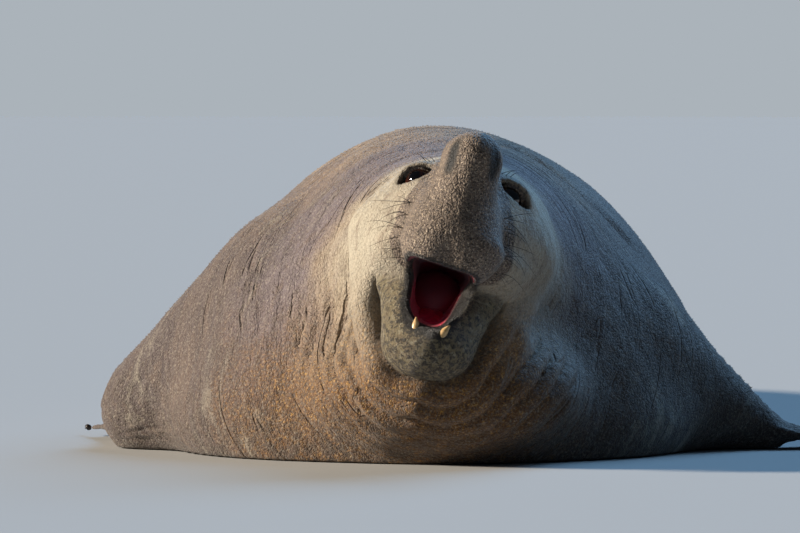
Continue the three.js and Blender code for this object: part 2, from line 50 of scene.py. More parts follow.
coatDepth = 2.5  # mm the skin lies inside the solids

trunk = {
    "y": [900, 1300, 1800, 2400, 3000, 3500, 3900, 4250],
    "top": [762, 790, 778, 694, 558, 425, 305, 200],
    "half": [705, 728, 712, 622, 485, 350, 245, 165],
    "middle": [-20, 12, 45, 90, 150, 205, 245, 270],
    "chestReach": 690,
    "slump": 1.4,
    "tuck": 0.09,
    "tuckHeight": 130,
}


def mix(a, b, t):
    return a + (b - a) * t


def smooth(lo, hi, v):
    t = np.clip((v - lo) / (hi - lo), 0, 1)
    return t * t * (3 - 2 * t)


def blend(a, b, k):
    return np.minimum(a, b) - np.maximum(k - np.abs(a - b), 0) ** 2 / (4 * k)


def carve(a, b, k):
    return -blend(-a, b, k)


def length3(x, y, z):
    return np.sqrt(x * x + y * y + z * z)


def ellipsoid(x, y, z, c, r):
    px, py, pz = x - c[0], y - c[1], z - c[2]
    near = length3(px / r[0], py / r[1], pz / r[2])
    steep = length3(px / r[0] ** 2, py / r[1] ** 2, pz / r[2] ** 2)
    return near * (near - 1) / np.maximum(steep, 1e-6)


def limb(x, y, z, a, ra, b, rb):
    bx, by, bz = b[0] - a[0], b[1] - a[1], b[2] - a[2]
    px, py, pz = x - a[0], y - a[1], z - a[2]
    t = np.clip((px * bx + py * by + pz * bz) / (bx * bx + by * by + bz * bz), 0, 1)
    return length3(px - t * bx, py - t * by, pz - t * bz) - mix(ra, rb, t)


def station(y, kind):
    ys, vs = np.array(trunk["y"], float), np.array(trunk[kind], float)
    last = len(ys) - 1
    v = np.clip(y, ys[0], ys[-1])
    i = np.clip(np.searchsorted(ys, v, side="left") - 1, 0, last - 1)
    p, n = np.maximum(np.arange(last + 1) - 1, 0), np.minimum(np.arange(last + 1) + 1, last)
    slope = (vs[n] - vs[p]) / (ys[n] - ys[p])
    span = ys[i + 1] - ys[i]
    t = (v - ys[i]) / span
    return (
        (1 + 2 * t) * (1 - t) ** 2 * vs[i]
        + t * (1 - t) ** 2 * span * slope[i]
        + t * t * (3 - 2 * t) * vs[i + 1]
        + t * t * (t - 1) * span * slope[i + 1]
    )


def headAxes():
    sp, cp = math.sin(math.radians(headPose["pitch"])), math.cos(math.radians(headPose["pitch"]))
    sr, cr = math.sin(math.radians(headPose["roll"])), math.cos(math.radians(headPose["roll"]))
    forward, up, across = np.array([0, -cp, sp]), np.array([0, sp, cp]), np.array([1.0, 0, 0])
    return np.array([across * cr - up * sr, forward, up * cr + across * sr])


axes = headAxes()
eye = {"across": 103, "forward": -18, "up": -14, "radius": 37, "fissure": 76, "open": 36}


def unit(v):
    return np.asarray(v, float) / np.linalg.norm(v)


def eyeAxesInHead():
    look = unit((0.5, 0.8, 0.33))
    along = np.array([0.8, -0.5, -0.52])
    along = unit(along - look * along.dot(look))
    up = np.cross(along, look)
    return along, up * np.sign(up[2]), look


eyeFrame = eyeAxesInHead()


def inHead(x, y, z):
    d = [x - eyeMiddle[0], y - eyeMiddle[1], z - eyeMiddle[2]]
    return [d[0] * v[0] + d[1] * v[1] + d[2] * v[2] for v in axes]


def fromHead(p):
    return eyeMiddle + np.asarray(p, float) @ axes


def directionFromHead(p):
    return np.asarray(p, float) @ axes


def trunkField(x, y, z):
    top, half, middle = station(y, "top"), station(y, "half"), station(y, "middle")
    low = np.clip(1 - z / trunk["tuckHeight"], 0, 1.4)
    w = half * (1 - trunk["tuck"] * low * low)
    reach = trunk["chestReach"]
    ahead = np.maximum(trunk["y"][0] - y, 0) / reach
    behind = np.maximum(y - trunk["y"][-1], 0) / 150
    across = (x - middle) / w
    rise = np.maximum(z, 0) / top
    value = across**2 + ahead**2 + behind**2 + rise ** trunk["slump"] - 1
    climb = trunk["slump"] * rise ** (trunk["slump"] - 1) / top
    level = (2 * across / w) ** 2 + (2 * ahead / reach) ** 2 + (2 * behind / 150) ** 2
    steep = np.sqrt(level + climb**2)
    return value / np.maximum(steep, 0.0009)


# Flippers: five digits in a web, laid out as rays from a point behind the wrist or ankle.
hands = {
    "foreLeft": {
        "root": (800, 900, 42), "heading": (0.96, 0.28, -0.03), "tilt": 0,
        "rootHalf": 62, "rootThick": 36, "thick": 15, "droop": 16,
        "turns": (-13, -6, 2, 11, 22), "lengths": (345, 335, 300, 255, 205),
    },
    "foreRight": {
        "root": (-790, 1190, 38), "heading": (0.04, 0.99, -0.02), "tilt": 0,
        "rootHalf": 50, "rootThick": 34, "thick": 14, "droop": 12,
        "turns": (-15, -8, -1, 6, 13), "lengths": (320, 310, 280, 240, 195),
    },
    "hindLeft": {
        "root": (358, 4110, 76), "heading": (0.2, 0.97, -0.06), "tilt": 24,
        "rootHalf": 58, "rootThick": 58, "thick": 15, "droop": 6,
        "turns": (-20, -10, 0, 10, 20), "lengths": (500, 430, 395, 430, 490),
    },
    "hindRight": {
        "root": (182, 4110, 76), "heading": (-0.2, 0.97, -0.06), "tilt": -24,
        "rootHalf": 58, "rootThick": 58, "thick": 15, "droop": 6,
        "turns": (-20, -10, 0, 10, 20), "lengths": (500, 430, 395, 430, 490),
    },
}


def handAxes(h):
    forward = np.array(h["heading"], float)
    forward /= np.linalg.norm(forward)
    up = np.array([0, 0, 1.0]) - forward * forward[2]
    up /= np.linalg.norm(up)
    across = np.cross(forward, up)
    turn = math.radians(h["tilt"])
    c, s = math.cos(turn), math.sin(turn)
    return forward, across * c + np.cross(forward, across) * s, up * c + np.cross(forward, up) * s


def handApex(h, forward):
    behind = h["rootHalf"] / math.tan(math.radians(max(abs(t) for t in h["turns"])))
    return np.array(h["root"], float) - forward * behind, behind


def handField(h, x, y, z):
    forward, across, up = handAxes(h)
    apex, behind = handApex(h, forward)
    p = [x - apex[0], y - apex[1], z - apex[2]]
    f, s, u = [p[0] * v[0] + p[1] * v[1] + p[2] * v[2] for v in (forward, across, up)]
    r = np.sqrt(f * f + s * s)
    turn = np.degrees(np.arctan2(s, f))
    digit = np.interp(turn, h["turns"], [0, 1, 2, 3, 4])
    web = np.sin(np.pi * (digit - np.floor(digit)))
    reach = np.interp(turn, h["turns"], h["lengths"]) * (1 - 0.1 * web)
    t = np.clip((r - behind) / reach, 0, 1)
    side = digit / 2 - 1
    roundness = np.sqrt(np.maximum(1 - 0.8 * side * side, 0.1))
    thick = h["thick"] * (1 - 0.5 * web) * (0.6 + 0.4 * roundness)
    half = mix(h["rootThick"] * roundness, thick, smooth(0, 0.55, t)) * (1 - 0.55 * smooth(0.75, 1, t))
    d = np.abs(u + h["droop"] * t * t) - half
    d = carve(d, -(r - behind - reach), 10)
    middle = (h["turns"][0] + h["turns"][-1]) / 2
    wide = (h["turns"][-1] - h["turns"][0]) / 2
    d = carve(d, -(np.radians(np.abs(turn - middle) - wide) * r - 4), 10)
    return carve(d, -(behind * 0.8 - f), 10)


# Round solids that melt into one another, each over the reach that ends its row
bodyParts = (
    (limb, ([45, 330, 500], 220, [0, 950, 400], 360), 160),
    (ellipsoid, ([15, 340, 170], [330, 330, 180]), 90),
    (limb, ([470, 830, 205], 195, [800, 900, 40], 62), 110),
    (limb, ([-390, 850, 395], 165, [-700, 930, 105], 145), 110),
    (limb, ([202, 3900, 115], 95, [182, 4230, 66], 62), 50),
    (limb, ([322, 3900, 115], 95, [358, 4230, 66], 62), 50),
    (limb, ([-715, 960, 85], 100, [-800, 1230, 40], 50), 60),
    (limb, ([268, 4130, 150], 42, [272, 4300, 100], 14), 24),
)
noseParts = (
    (limb, ([0, -40, -34], 84, [3, 96, 41], 66), 0),
    (limb, ([3, 96, 41], 66, [14, 160, 41], 65), 20),
    (limb, ([13, 152, 26], 64, [0, 132, -120], 102), 26),
)
cheekParts = (
    (ellipsoid, ([78, -60, -140], [108, 165, 125]), 60),
    (ellipsoid, ([98, -22, -4], [56, 56, 42]), 30),
)
jawParts = (
    (limb, ([92, -110, -205], 76, [66, 70, -342], 58), 0),
    (ellipsoid, ([0, 92, -404], [110, 92, 84]), 36),
    (limb, ([84, -120, -290], 76, [40, 10, -412], 78), 40),
)
jowlParts = (
    (limb, ([178, -110, -150], 70, [150, -50, -330], 64), 0),
    (limb, ([150, -50, -330], 64, [84, -8, -452], 60), 20),
    (limb, ([84, -8, -452], 60, [0, 4, -490], 58), 20),
)
handSpace = {"reach": 620, "high": 260, "melt": 16}
jawMiddle, jowlMiddle, noseMiddle = -8, -4, 13


def melted(d, parts, x, y, z):
    for kind, shape, reach in parts:
        more = kind(x, y, z, *shape)
        d = more if d is None else blend(d, more, reach)
    return d


def bodyField(x, y, z):
    d = melted(trunkField(x, y, z), bodyParts, x, y, z)
    for h in hands.values():
        lo = np.array(h["root"]) - handSpace["reach"]
        hi = np.array(h["root"]) + handSpace["reach"]
        near = (x > lo[0]) & (x < hi[0]) & (y > lo[1]) & (y < hi[1]) & (z < handSpace["high"])
        if near.any():
            d[near] = blend(d[near], handField(h, x[near], y[near], z[near]), handSpace["melt"])
    return d


def noseField(a, f, u):
    return melted(None, noseParts, a, f, u)


def lipPads(a, f, u):
    pad = ellipsoid(a, f, u, [4, 146, -158], [108, 86, 96])
    return blend(pad, ellipsoid(np.abs(a), f, u, [46, 150, -188], [60, 74, 70]), 40)


def slitField(a, f, u):
    return limb(np.abs(a - noseMiddle), f, u, [59, 210, 84], 11, [65, 205, 6], 12)


def upperHead(a, f, u):
    d = melted(ellipsoid(a, f, u, [0, -130, -75], [174, 245, 125]), cheekParts, np.abs(a), f, u)
    d = blend(d, limb(a, f, u, [0, -20, -110], 118, [0, 110, -120], 100), 50)
    d = blend(d, lipPads(a, f, u), 26)
    d = blend(d, noseField(a, f, u), 30)
    return carve(d, slitField(a, f, u), 16)


def lowerJaw(a, f, u):
    return melted(None, jawParts, np.abs(a - jawMiddle), f, u)


def jowl(a, f, u):
    return melted(None, jowlParts, np.abs(a - jowlMiddle), f, u)


mouthShape = {
    "front": 235, "back": -40, "frontLevel": -315, "backLevel": -245, "high": 77, "slope": 0.13,
    "gullet": 0.5, "topMiddle": -9, "topHalf": 93, "bottomMiddle": -23, "bottomHalf": 43,
}


def mouthField(a, f, u):
    m = mouthShape
    t = np.clip((f - m["back"]) / (m["front"] - m["back"]), 0, 1)
    size = mix(m["gullet"], 1.0, np.sqrt(t))
    rise = u + m["slope"] * (a - m["topMiddle"]) - mix(m["backLevel"], m["frontLevel"], t)
    level = np.clip(rise / (2 * m["high"] * size) + 0.5, 0, 1)
    middle = mix(m["bottomMiddle"], m["topMiddle"], level)
    aside = np.abs(a - middle) - size * mix(m["bottomHalf"], m["topHalf"], level)
    return carve(carve(aside, m["high"] * size - np.abs(rise), 34), f - m["back"], 30)


def eyeSpace(a, f, u):
    m = np.abs(a)
    ball = length3(m - eye["across"], f - eye["forward"], u - eye["up"]) - eye["radius"] - 1.0
    along, up, look = eyeFrame
    p = (m - eye["across"], f - eye["forward"], u - eye["up"])
    x, y, z = [p[0] * v[0] + p[1] * v[1] + p[2] * v[2] for v in (along, up, look)]
    w, h = eye["fissure"] / 2 + 3, eye["open"] / 2 + 3
    slot = (np.sqrt((x / w) ** 2 + (y / h) ** 2) - 1) * h
    return np.minimum(ball, np.maximum(slot, 6 - z))


def sealField(x, y, z, full=False):
    a, f, u = inHead(x, y, z)
    skull, jaw = upperHead(a, f, u), lowerJaw(a, f, u)
    away = blend(skull, jaw, 30)
    rear = blend(bodyField(x, y, z), jowl(a, f, u), 70)
    d = blend(skull, rear, mix(22, 130, smooth(-300, -100, u)))
    d = blend(jaw, d, mix(16, 60, smooth(-300, -180, u)))
    mouth = mouthField(a, f, u)
    whole = d
    d = carve(d, mouth, 8)
    near = (skull < 60) & (u > -90)
    d[near] = carve(d[near], eyeSpace(a[near], f[near], u[near]), 5)
    d = np.maximum(d, -z)
    if full:
        return {
            "a": a, "f": f, "u": u, "skull": skull, "jaw": jaw, "away": away,
            "seam": np.abs(rear - jaw), "mouth": mouth, "whole": whole,
        }
    return d + coatDepth


def surfaceNet(field, xs, ys, zs):
    grid = [np.asarray(v, float) for v in (xs, ys, zs)]
    shape = tuple(len(g) for g in grid)
    value = np.ones(shape)
    for i in range(1, shape[0] - 1):
        y, z = np.meshgrid(grid[1][1:-1], grid[2][1:-1], indexing="ij")
        x = np.full(y.size, grid[0][i])
        value[i, 1:-1, 1:-1] = field(x, y.ravel(), z.ravel()).reshape(y.shape)
    value[value == 0] = 1e-6
    inside = value < 0
    cells = tuple(n - 1 for n in shape)
    total, crossings = np.zeros(cells + (3,)), np.zeros(cells)
    edges = []
    for axis in range(3):
        lo = tuple(slice(0, -1) if n == axis else slice(None) for n in range(3))
        hi = tuple(slice(1, None) if n == axis else slice(None) for n in range(3))
        cross = inside[lo] != inside[hi]
        at = np.argwhere(cross)
        v0, v1 = value[lo][cross], value[hi][cross]
        t = v0 / (v0 - v1)
        p = np.stack([grid[n][at[:, n]] for n in range(3)], axis=1)
        g = grid[axis]
        p[:, axis] = mix(g[at[:, axis]], g[at[:, axis] + 1], t)
        others = [n for n in range(3) if n != axis]
        for s in (0, 1):
            for r in (0, 1):
                c = at.copy()
                c[:, others[0]] -= s
                c[:, others[1]] -= r
                ok = (c >= 0).all(axis=1) & (c < cells).all(axis=1)
                np.add.at(total, tuple(c[ok].T), p[ok])
                np.add.at(crossings, tuple(c[ok].T), 1)
        edges.append((axis, others, at, inside[lo][cross]))
    active = crossings > 0
    number = np.full(cells, -1)
    number[active] = np.arange(active.sum())
    where = np.argwhere(active)
    points = total[active] / crossings[active][:, None]
    reach = 0.4 * np.min([np.diff(grid[n])[where[:, n]] for n in range(3)], axis=0)
    for _ in range(3):
        here = field(*points.T)
        slope = np.stack([field(*(points + 1.5 * np.eye(3)[n]).T) - here for n in range(3)], axis=1) / 1.5
        steep = (slope**2).sum(axis=1) + 1e-9
        step = -here[:, None] * slope / steep[:, None]
        points += np.clip(step, -reach[:, None], reach[:, None])
    quads = []
    for axis, others, at, here in edges:
        p, q = others
        corners = []
        for s, r in ((1, 1), (0, 1), (0, 0), (1, 0)):
            c = at.copy()
            c[:, p] -= s
            c[:, q] -= r
            corners.append(number[tuple(c.T)])
        four = np.stack(corners, axis=1)
        turned = here if axis != 1 else ~here
        quads.append(np.where(turned[:, None], four, four[:, ::-1]))
    return points, np.concatenate(quads)


def paced(*stretches):
    out = [stretches[0][0]]
    for start, end, step in stretches:
        count = max(1, round((end - out[-1]) / step))
        out += list(np.linspace(out[-1], end, count + 1)[1:])
    return out


cadEye = [sum(v) / 2 for v in zip(*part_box("eye_left"))]
eyeCentre = {side: fromHead((side * eye["across"], eye["forward"], eye["up"])) for side in (1, -1)}
shift = eyeCentre[1] / 1000 - np.array(cadEye)
shift[2] = 0


def toFrame(points):
    p = np.asarray(points, float) / 1000 - shift
    p[:, 2] = np.maximum(p[:, 2], 0.0005)
    return p


def linked(name, data):
    made = bpy.data.objects.new(name, data)
    bpy.context.scene.collection.objects.link(made)
    return made


def makeMesh(name, points, faces):
    mesh = bpy.data.meshes.new(name)
    mesh.from_pydata([tuple(p) for p in toFrame(points)], [], [tuple(int(i) for i in f) for f in faces])
    mesh.validate()
    mesh.update()
    mesh.shade_smooth()
    return linked(name, mesh)


def rolled(rows, columns):
    faces = []
    for i in range(rows):
        for j in range(columns):
            here, beside = i * columns + j, i * columns + (j + 1) % columns
            faces.append((here, beside, beside + columns, here + columns))
    return faces


# Repeatable lumps between -1 and 1, about as wide as size
def lumps(points, size, seed):
    table = np.random.default_rng(seed).uniform(-1, 1, (32, 32, 32))
    q = points / size
    base = np.floor(q).astype(int)
    t = q - base
    t = t * t * (3 - 2 * t)
    out = np.zeros(len(points))
    for dx in (0, 1):
        for dy in (0, 1):
            for dz in (0, 1):
                w = np.where(dx, t[:, 0], 1 - t[:, 0]) * np.where(dy, t[:, 1], 1 - t[:, 1])
                w = w * np.where(dz, t[:, 2], 1 - t[:, 2])
                out += w * table[(base[:, 0] + dx) % 32, (base[:, 1] + dy) % 32, (base[:, 2] + dz) % 32]
    return out


skinGrid = {
    "x": (
        (-960, -690, 13), (-690, -320, 20), (-320, -165, 12), (-165, 275, 7.5),
        (275, 400, 12), (400, 740, 20), (740, 1200, 9.5),
    ),
    "y": (
        (-240, 235, 7.5), (235, 850, 20), (850, 1080, 11),
        (1080, 1540, 17), (1540, 4080, 34), (4080, 4680, 10),
    ),
    "z": ((-12, 72, 6), (72, 150, 12), (150, 800, 8.5), (800, 830, 15)),
}


# Folds, pleats and slack, in mm along the surface's own direction
slack = {
    "jawSeam": {
        "depth": 17, "width": 10, "below": (-225, -300), "fill": 20, "fillWidth": 46,
        "cheek": (-320, -270), "cheekTop": (-180, -130), "onHead": (60, 20),
    },
    "throat": {
        "spacing": 43, "depth": 18, "wander": 12, "start": 10,
        "below": (-210, -400), "end": (190, 330), "clear": (40, 130),
    },
    "neck": {"spacing": 64, "depth": 5.0, "wander": 22, "start": (30, 110), "end": (300, 620)},
    "shoulder": {
        "from": (198, 894), "to": (455, 1110), "depth": 22, "width": 30,
        "start": (-0.5, 0.1), "end": (0.9, 1.4), "above": (350, 450), "wander": 14,
    },
    "lumps": ((210, 4.0, 3), (85, 2.2, 5), (38, 0.9, 8)),
    "axilla": {"pivot": (-872, 30), "count": 9.5, "depth": 7, "start": (30, 90), "end": (120, 250)},
    "arm": {"spacing": 30, "depth": 5, "start": (120, 190), "end": (300, 360), "clear": (60, 110)},
    "bridge": {
        "spacing": 31, "depth": 3.2, "above": (6, 40), "start": (-40, -10), "end": (60, 100), "half": 90,
    },
    "floor": (4, 40), "mouth": (2, 14), "flesh": (4, 40), "drift": (105, 11), "fine": (47, 12),
}


def crease(phase):
    return np.abs(np.sin(np.pi * phase)) ** 0.7 - 0.8  # broad rolls with narrow grooves between


def shoulderFold(p, drift):
    x, y, z = p.T
    s = slack["shoulder"]
    across = (x - s["from"][0]) / (s["to"][0] - s["from"][0])
    behind = y - mix(s["from"][1], s["to"][1], across)
    there = smooth(*s["start"], across) * (1 - smooth(*s["end"], across)) * smooth(*s["above"], z)
    return there * np.exp(-(((behind + s["wander"] * drift) / s["width"]) ** 2))


def slackness(p, part):
    x, y, z = p.T
    a, f, u, away = part["a"], part["f"], part["u"], part["away"]
    drift = lumps(p, *slack["drift"])
    fine = lumps(p, *slack["fine"])
    off = np.zeros(len(p))
    flesh = smooth(*slack["flesh"], away)
    s = slack["jawSeam"]
    off -= s["depth"] * smooth(*s["below"], u) * np.exp(-((part["seam"] / s["width"]) ** 2))
    cheek = smooth(*s["cheek"], u) * (1 - smooth(*s["cheekTop"], u)) * smooth(*s["onHead"], away)
    off += s["fill"] * cheek * np.exp(-((part["seam"] / s["fillWidth"]) ** 2))
    off -= slack["shoulder"]["depth"] * shoulderFold(p, drift)
    t = slack["throat"]
    under = smooth(*t["below"], u) * (1 - smooth(*t["end"], away)) * smooth(*t["clear"], z)
    rolls = crease((away - t["start"] + t["wander"] * drift + 4 * fine) / t["spacing"])
    off += t["depth"] * under * flesh * rolls
    n = slack["neck"]
    ringed = (1 - smooth(*n["end"], away)) * (1 - under) * smooth(*n["start"], away)
    rolls = crease((away + n["wander"] * drift + 8 * fine) / n["spacing"])
    off += n["depth"] * ringed * rolls * (0.6 + 0.6 * lumps(p, 170, 4))
    for size, depth, seed in slack["lumps"]:
        off += depth * flesh * lumps(p, size, seed)
    s = slack["axilla"]
    x0, z0 = s["pivot"]
    dist = np.hypot(x - x0, z - z0)
    fan = smooth(*s["start"], dist) * (1 - smooth(*s["end"], dist)) * (x < -500) * (y < 1050)
    angle = np.arctan2(z - z0, x - x0) / (math.pi / 2)
    off += s["depth"] * fan * crease(angle * s["count"] + 0.5 * drift)
    s = slack["arm"]
    along = (x - 480) * 0.9 - (z - 205) * 0.44
    arm = smooth(*s["start"], along) * (1 - smooth(*s["end"], along)) * smooth(*s["clear"], z) * (y < 1010)
    off += s["depth"] * arm * crease((along + 10 * drift) / s["spacing"])
    s = slack["bridge"]
    bridge = smooth(*s["above"], u) * smooth(*s["start"], f) * (1 - smooth(*s["end"], f))
    off += s["depth"] * bridge * (np.abs(a) < s["half"]) * crease((f + 5 * drift) / s["spacing"])
    return off * smooth(*slack["floor"], z) * smooth(*slack["mouth"], part["mouth"])


def direction(p):
    here = sealField(*p.T)
    slope = np.stack([sealField(*(p + 2 * np.eye(3)[n]).T) - here for n in range(3)], axis=1)
    return slope / np.maximum(np.linalg.norm(slope, axis=1), 1e-9)[:, None]


def paintMap(mesh, name, values):
    kind = "FLOAT" if values.ndim == 1 else "FLOAT_VECTOR"
    layer = mesh.attributes.new(name, kind, "POINT")
    layer.data.foreach_set("value" if kind == "FLOAT" else "vector", values.astype(np.float32).ravel())


def toEyes(p):
    return np.min([np.linalg.norm(p - c, axis=1) for c in eyeCentre.values()], axis=0)


def paintSkin(mesh, p):
    part = sealField(*p.T, full=True)
    a, f, u = part["a"], part["f"], part["u"]
    nose = blend(noseField(a, f, u), lipPads(a, f, u), 26)
    brow = limb(np.abs(a), f, u, [98, -22, -4], 50, [110, -60, -140], 120)
    rest = np.minimum(blend(part["jaw"], bodyField(*p.T), 20), brow)
    inMouth = smooth(9, 3, part["mouth"]) * smooth(-7, -20, part["whole"])
    onSkull = mix(1, 0.25, smooth(0, 30, part["jaw"] - part["skull"]))
    rim = np.maximum(smooth(44, 8, part["mouth"]) * onSkull, smooth(16, 7, part["mouth"])) * (1 - inMouth)
    around = np.arctan2(a, -(u + 330))
    away = part["away"] / 1000
    paintMap(mesh, "away", away)
    paintMap(mesh, "rings", np.stack([away, 0.35 * np.cos(around), 0.35 * np.sin(around)], axis=1))
    onHead = smooth(70, 20, part["away"])
    paintMap(mesh, "nose", smooth(-34, 2, rest - nose) * smooth(-300, -250, u) * onHead)
    others = np.minimum(np.minimum(bodyField(*p.T), jowl(a, f, u)), part["skull"])
    paintMap(mesh, "jaw", smooth(-24, 16, others - part["jaw"]) * smooth(-215, -300, u))
    # painted shade: the jaw seam crease and the shoulder fold are marked for darkening
    seam = np.exp(-((part["seam"] / 10) ** 2)) * smooth(-250, -320, u)
    paintMap(mesh, "seam", np.maximum(seam, 0.5 * shoulderFold(p, lumps(p, *slack["drift"]))))
    paintMap(mesh, "mouth", inMouth)
    paintMap(mesh, "lip", rim)
    # painted shade: the nostril slits' grooves are marked for near-black paint
    paintMap(mesh, "slit", smooth(20, 6, slitField(a, f, u)))
    paintMap(mesh, "lidShade", smooth(74, 44, toEyes(p)))
    # painted shade: the mouth's inside is marked darker towards its back and top
    paintMap(mesh, "mouthShade", smooth(210, 90, f) * smooth(-275, -215, u) * inMouth)
    ring = p[:, 1] + 0.45 * np.maximum(480 - p[:, 2], 0)
    paintMap(mesh, "ring", ring / 1000)


def buildSkin():
    points, quads = surfaceNet(sealField, *[paced(*skinGrid[k]) for k in "xyz"])
    part = sealField(*points.T, full=True)
    normal = direction(points)
    points = points + normal * slackness(points, part)[:, None]
    points[:, 2] = np.maximum(points[:, 2], 1.0)
    made = makeMesh("hide", points, quads)
    paintSkin(made.data, points)
    print("skin:", len(points), "points,", len(quads), "quads")
    return made


skin = buildSkin()

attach(skin, "root")
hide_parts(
    "head", "proboscis", "lower_jaw", "neck", "torso", "hindquarters", "tail",
    "fore_flipper_left", "fore_flipper_right", "hind_flipper_left", "hind_flipper_right",
)


def tint(code, alpha=1.0):
    parts = [int(code[i : i + 2], 16) / 255 for i in (1, 3, 5)]
    return tuple(v / 12.92 if v <= 0.04045 else ((v + 0.055) / 1.055) ** 2.4 for v in parts) + (alpha,)


class Wire:
    def __init__(self, tree, socket):
        self.tree, self.socket = tree, socket

    def node(self, kind, settings=None, output=0, **values):
        return nodeIn(self.tree, kind, settings, output, **values)

    def maths(self, operation, *values):
        made = self.tree.nodes.new("ShaderNodeMath")
        made.operation = operation
        for socket, value in zip(made.inputs, values):
            feed(self.tree, socket, value)
        return Wire(self.tree, made.outputs[0])

    def __add__(self, other):
        return self.maths("ADD", self, other)

    def __sub__(self, other):
        return self.maths("SUBTRACT", self, other)

    def __rsub__(self, other):
        return self.maths("SUBTRACT", other, self)

    def __mul__(self, other):
        return self.maths("MULTIPLY", self, other)

    def __pow__(self, other):
        return self.maths("POWER", self, other)

    def size(self):
        return self.maths("ABSOLUTE", self)

    __radd__ = __add__
    __rmul__ = __mul__

    def between(self, lo, hi):
        limits = {"From Min": lo, "From Max": hi}
        return self.node("ShaderNodeMapRange", {"interpolation_type": "SMOOTHSTEP"}, Value=self, **limits)


def feed(tree, socket, value):
    if isinstance(value, Wire):
        tree.links.new(value.socket, socket)
    else:
        socket.default_value = value


def nodeIn(tree, kind, settings=None, output=0, **values):
    made = tree.nodes.new(kind)
    for name, value in (settings or {}).items():
        if name == "stops":
            for n, (place, colour) in enumerate(value):
                stop = made.color_ramp.elements[n] if n < 2 else made.color_ramp.elements.new(place)
                stop.position, stop.color = place, colour
        else:
            setattr(made, name, value)
    for name, value in values.items():
        feed(tree, made.inputs[name], value)
    return Wire(tree, made.outputs[output])


class Finish:
    def __init__(self, name, **constants):
        self.material = bpy.data.materials.new(name)
        self.material.use_nodes = True
        self.tree = self.material.node_tree
        self.shader = self.tree.nodes["Principled BSDF"]
        for key, value in constants.items():
            self.shader.inputs[key].default_value = value

    def node(self, kind, settings=None, output=0, **values):
        return nodeIn(self.tree, kind, settings, output, **values)

    def own(self, name, output=2):
        return self.node("ShaderNodeAttribute", {"attribute_name": name}, output)

    def place(self):
        return self.node("ShaderNodeTexCoord", output=3)

    def stretched(self, vector, scale):
        return self.node("ShaderNodeMapping", Vector=vector, Scale=scale)

    def noise(self, vector, scale, detail=3.0, roughness=0.55, distortion=0.0):
        shape = {"Detail": detail, "Roughness": roughness, "Distortion": distortion}
        return self.node("ShaderNodeTexNoise", Vector=vector, Scale=scale, **shape)

    def cells(self, vector, scale, feature="F1"):
        return self.node("ShaderNodeTexVoronoi", {"feature": feature}, Vector=vector, Scale=scale)

    def blend(self, factor, a, b, mode="MIX"):
        made = self.tree.nodes.new("ShaderNodeMix")
        made.data_type, made.blend_type = "RGBA", mode
        for index, value in ((0, factor), (6, a), (7, b)):
            feed(self.tree, made.inputs[index], value)
        return Wire(self.tree, made.outputs[2])

    def layers(self, colour, *above):
        for factor, top in above:
            colour = self.blend(factor, colour, top)
        return colour

    def set(self, **values):
        for name, value in values.items():
            feed(self.tree, self.shader.inputs[name.replace("_", " ")], value)

    def bump(self, height, strength=1.0):
        self.set(Normal=self.node("ShaderNodeBump", Height=height, Strength=strength, Distance=1.0))


hideColours = {
    "pale": "#B3A996", "tan": "#9A8168", "brown": "#6A5445", "plum": "#6F6267", "umber": "#3E2F27",
    "gold": "#6B4416", "goldLit": "#BC8C3A", "slate": "#54494A", "dusk": "#4B3E3F", "grey": "#8F8A84",
    "nose": "#6A5B50", "noseFleck": "#BFAB93", "noseDark": "#2A221E",
    "jaw": "#9C8D68", "jawDark": "#231E1A", "jawLit": "#B9AE93", "lip": "#151110",
    "mouth": "#DA1C4C", "throat": "#5A0C1E", "lid": "#3A2F29", "slit": "#0B0908",
}


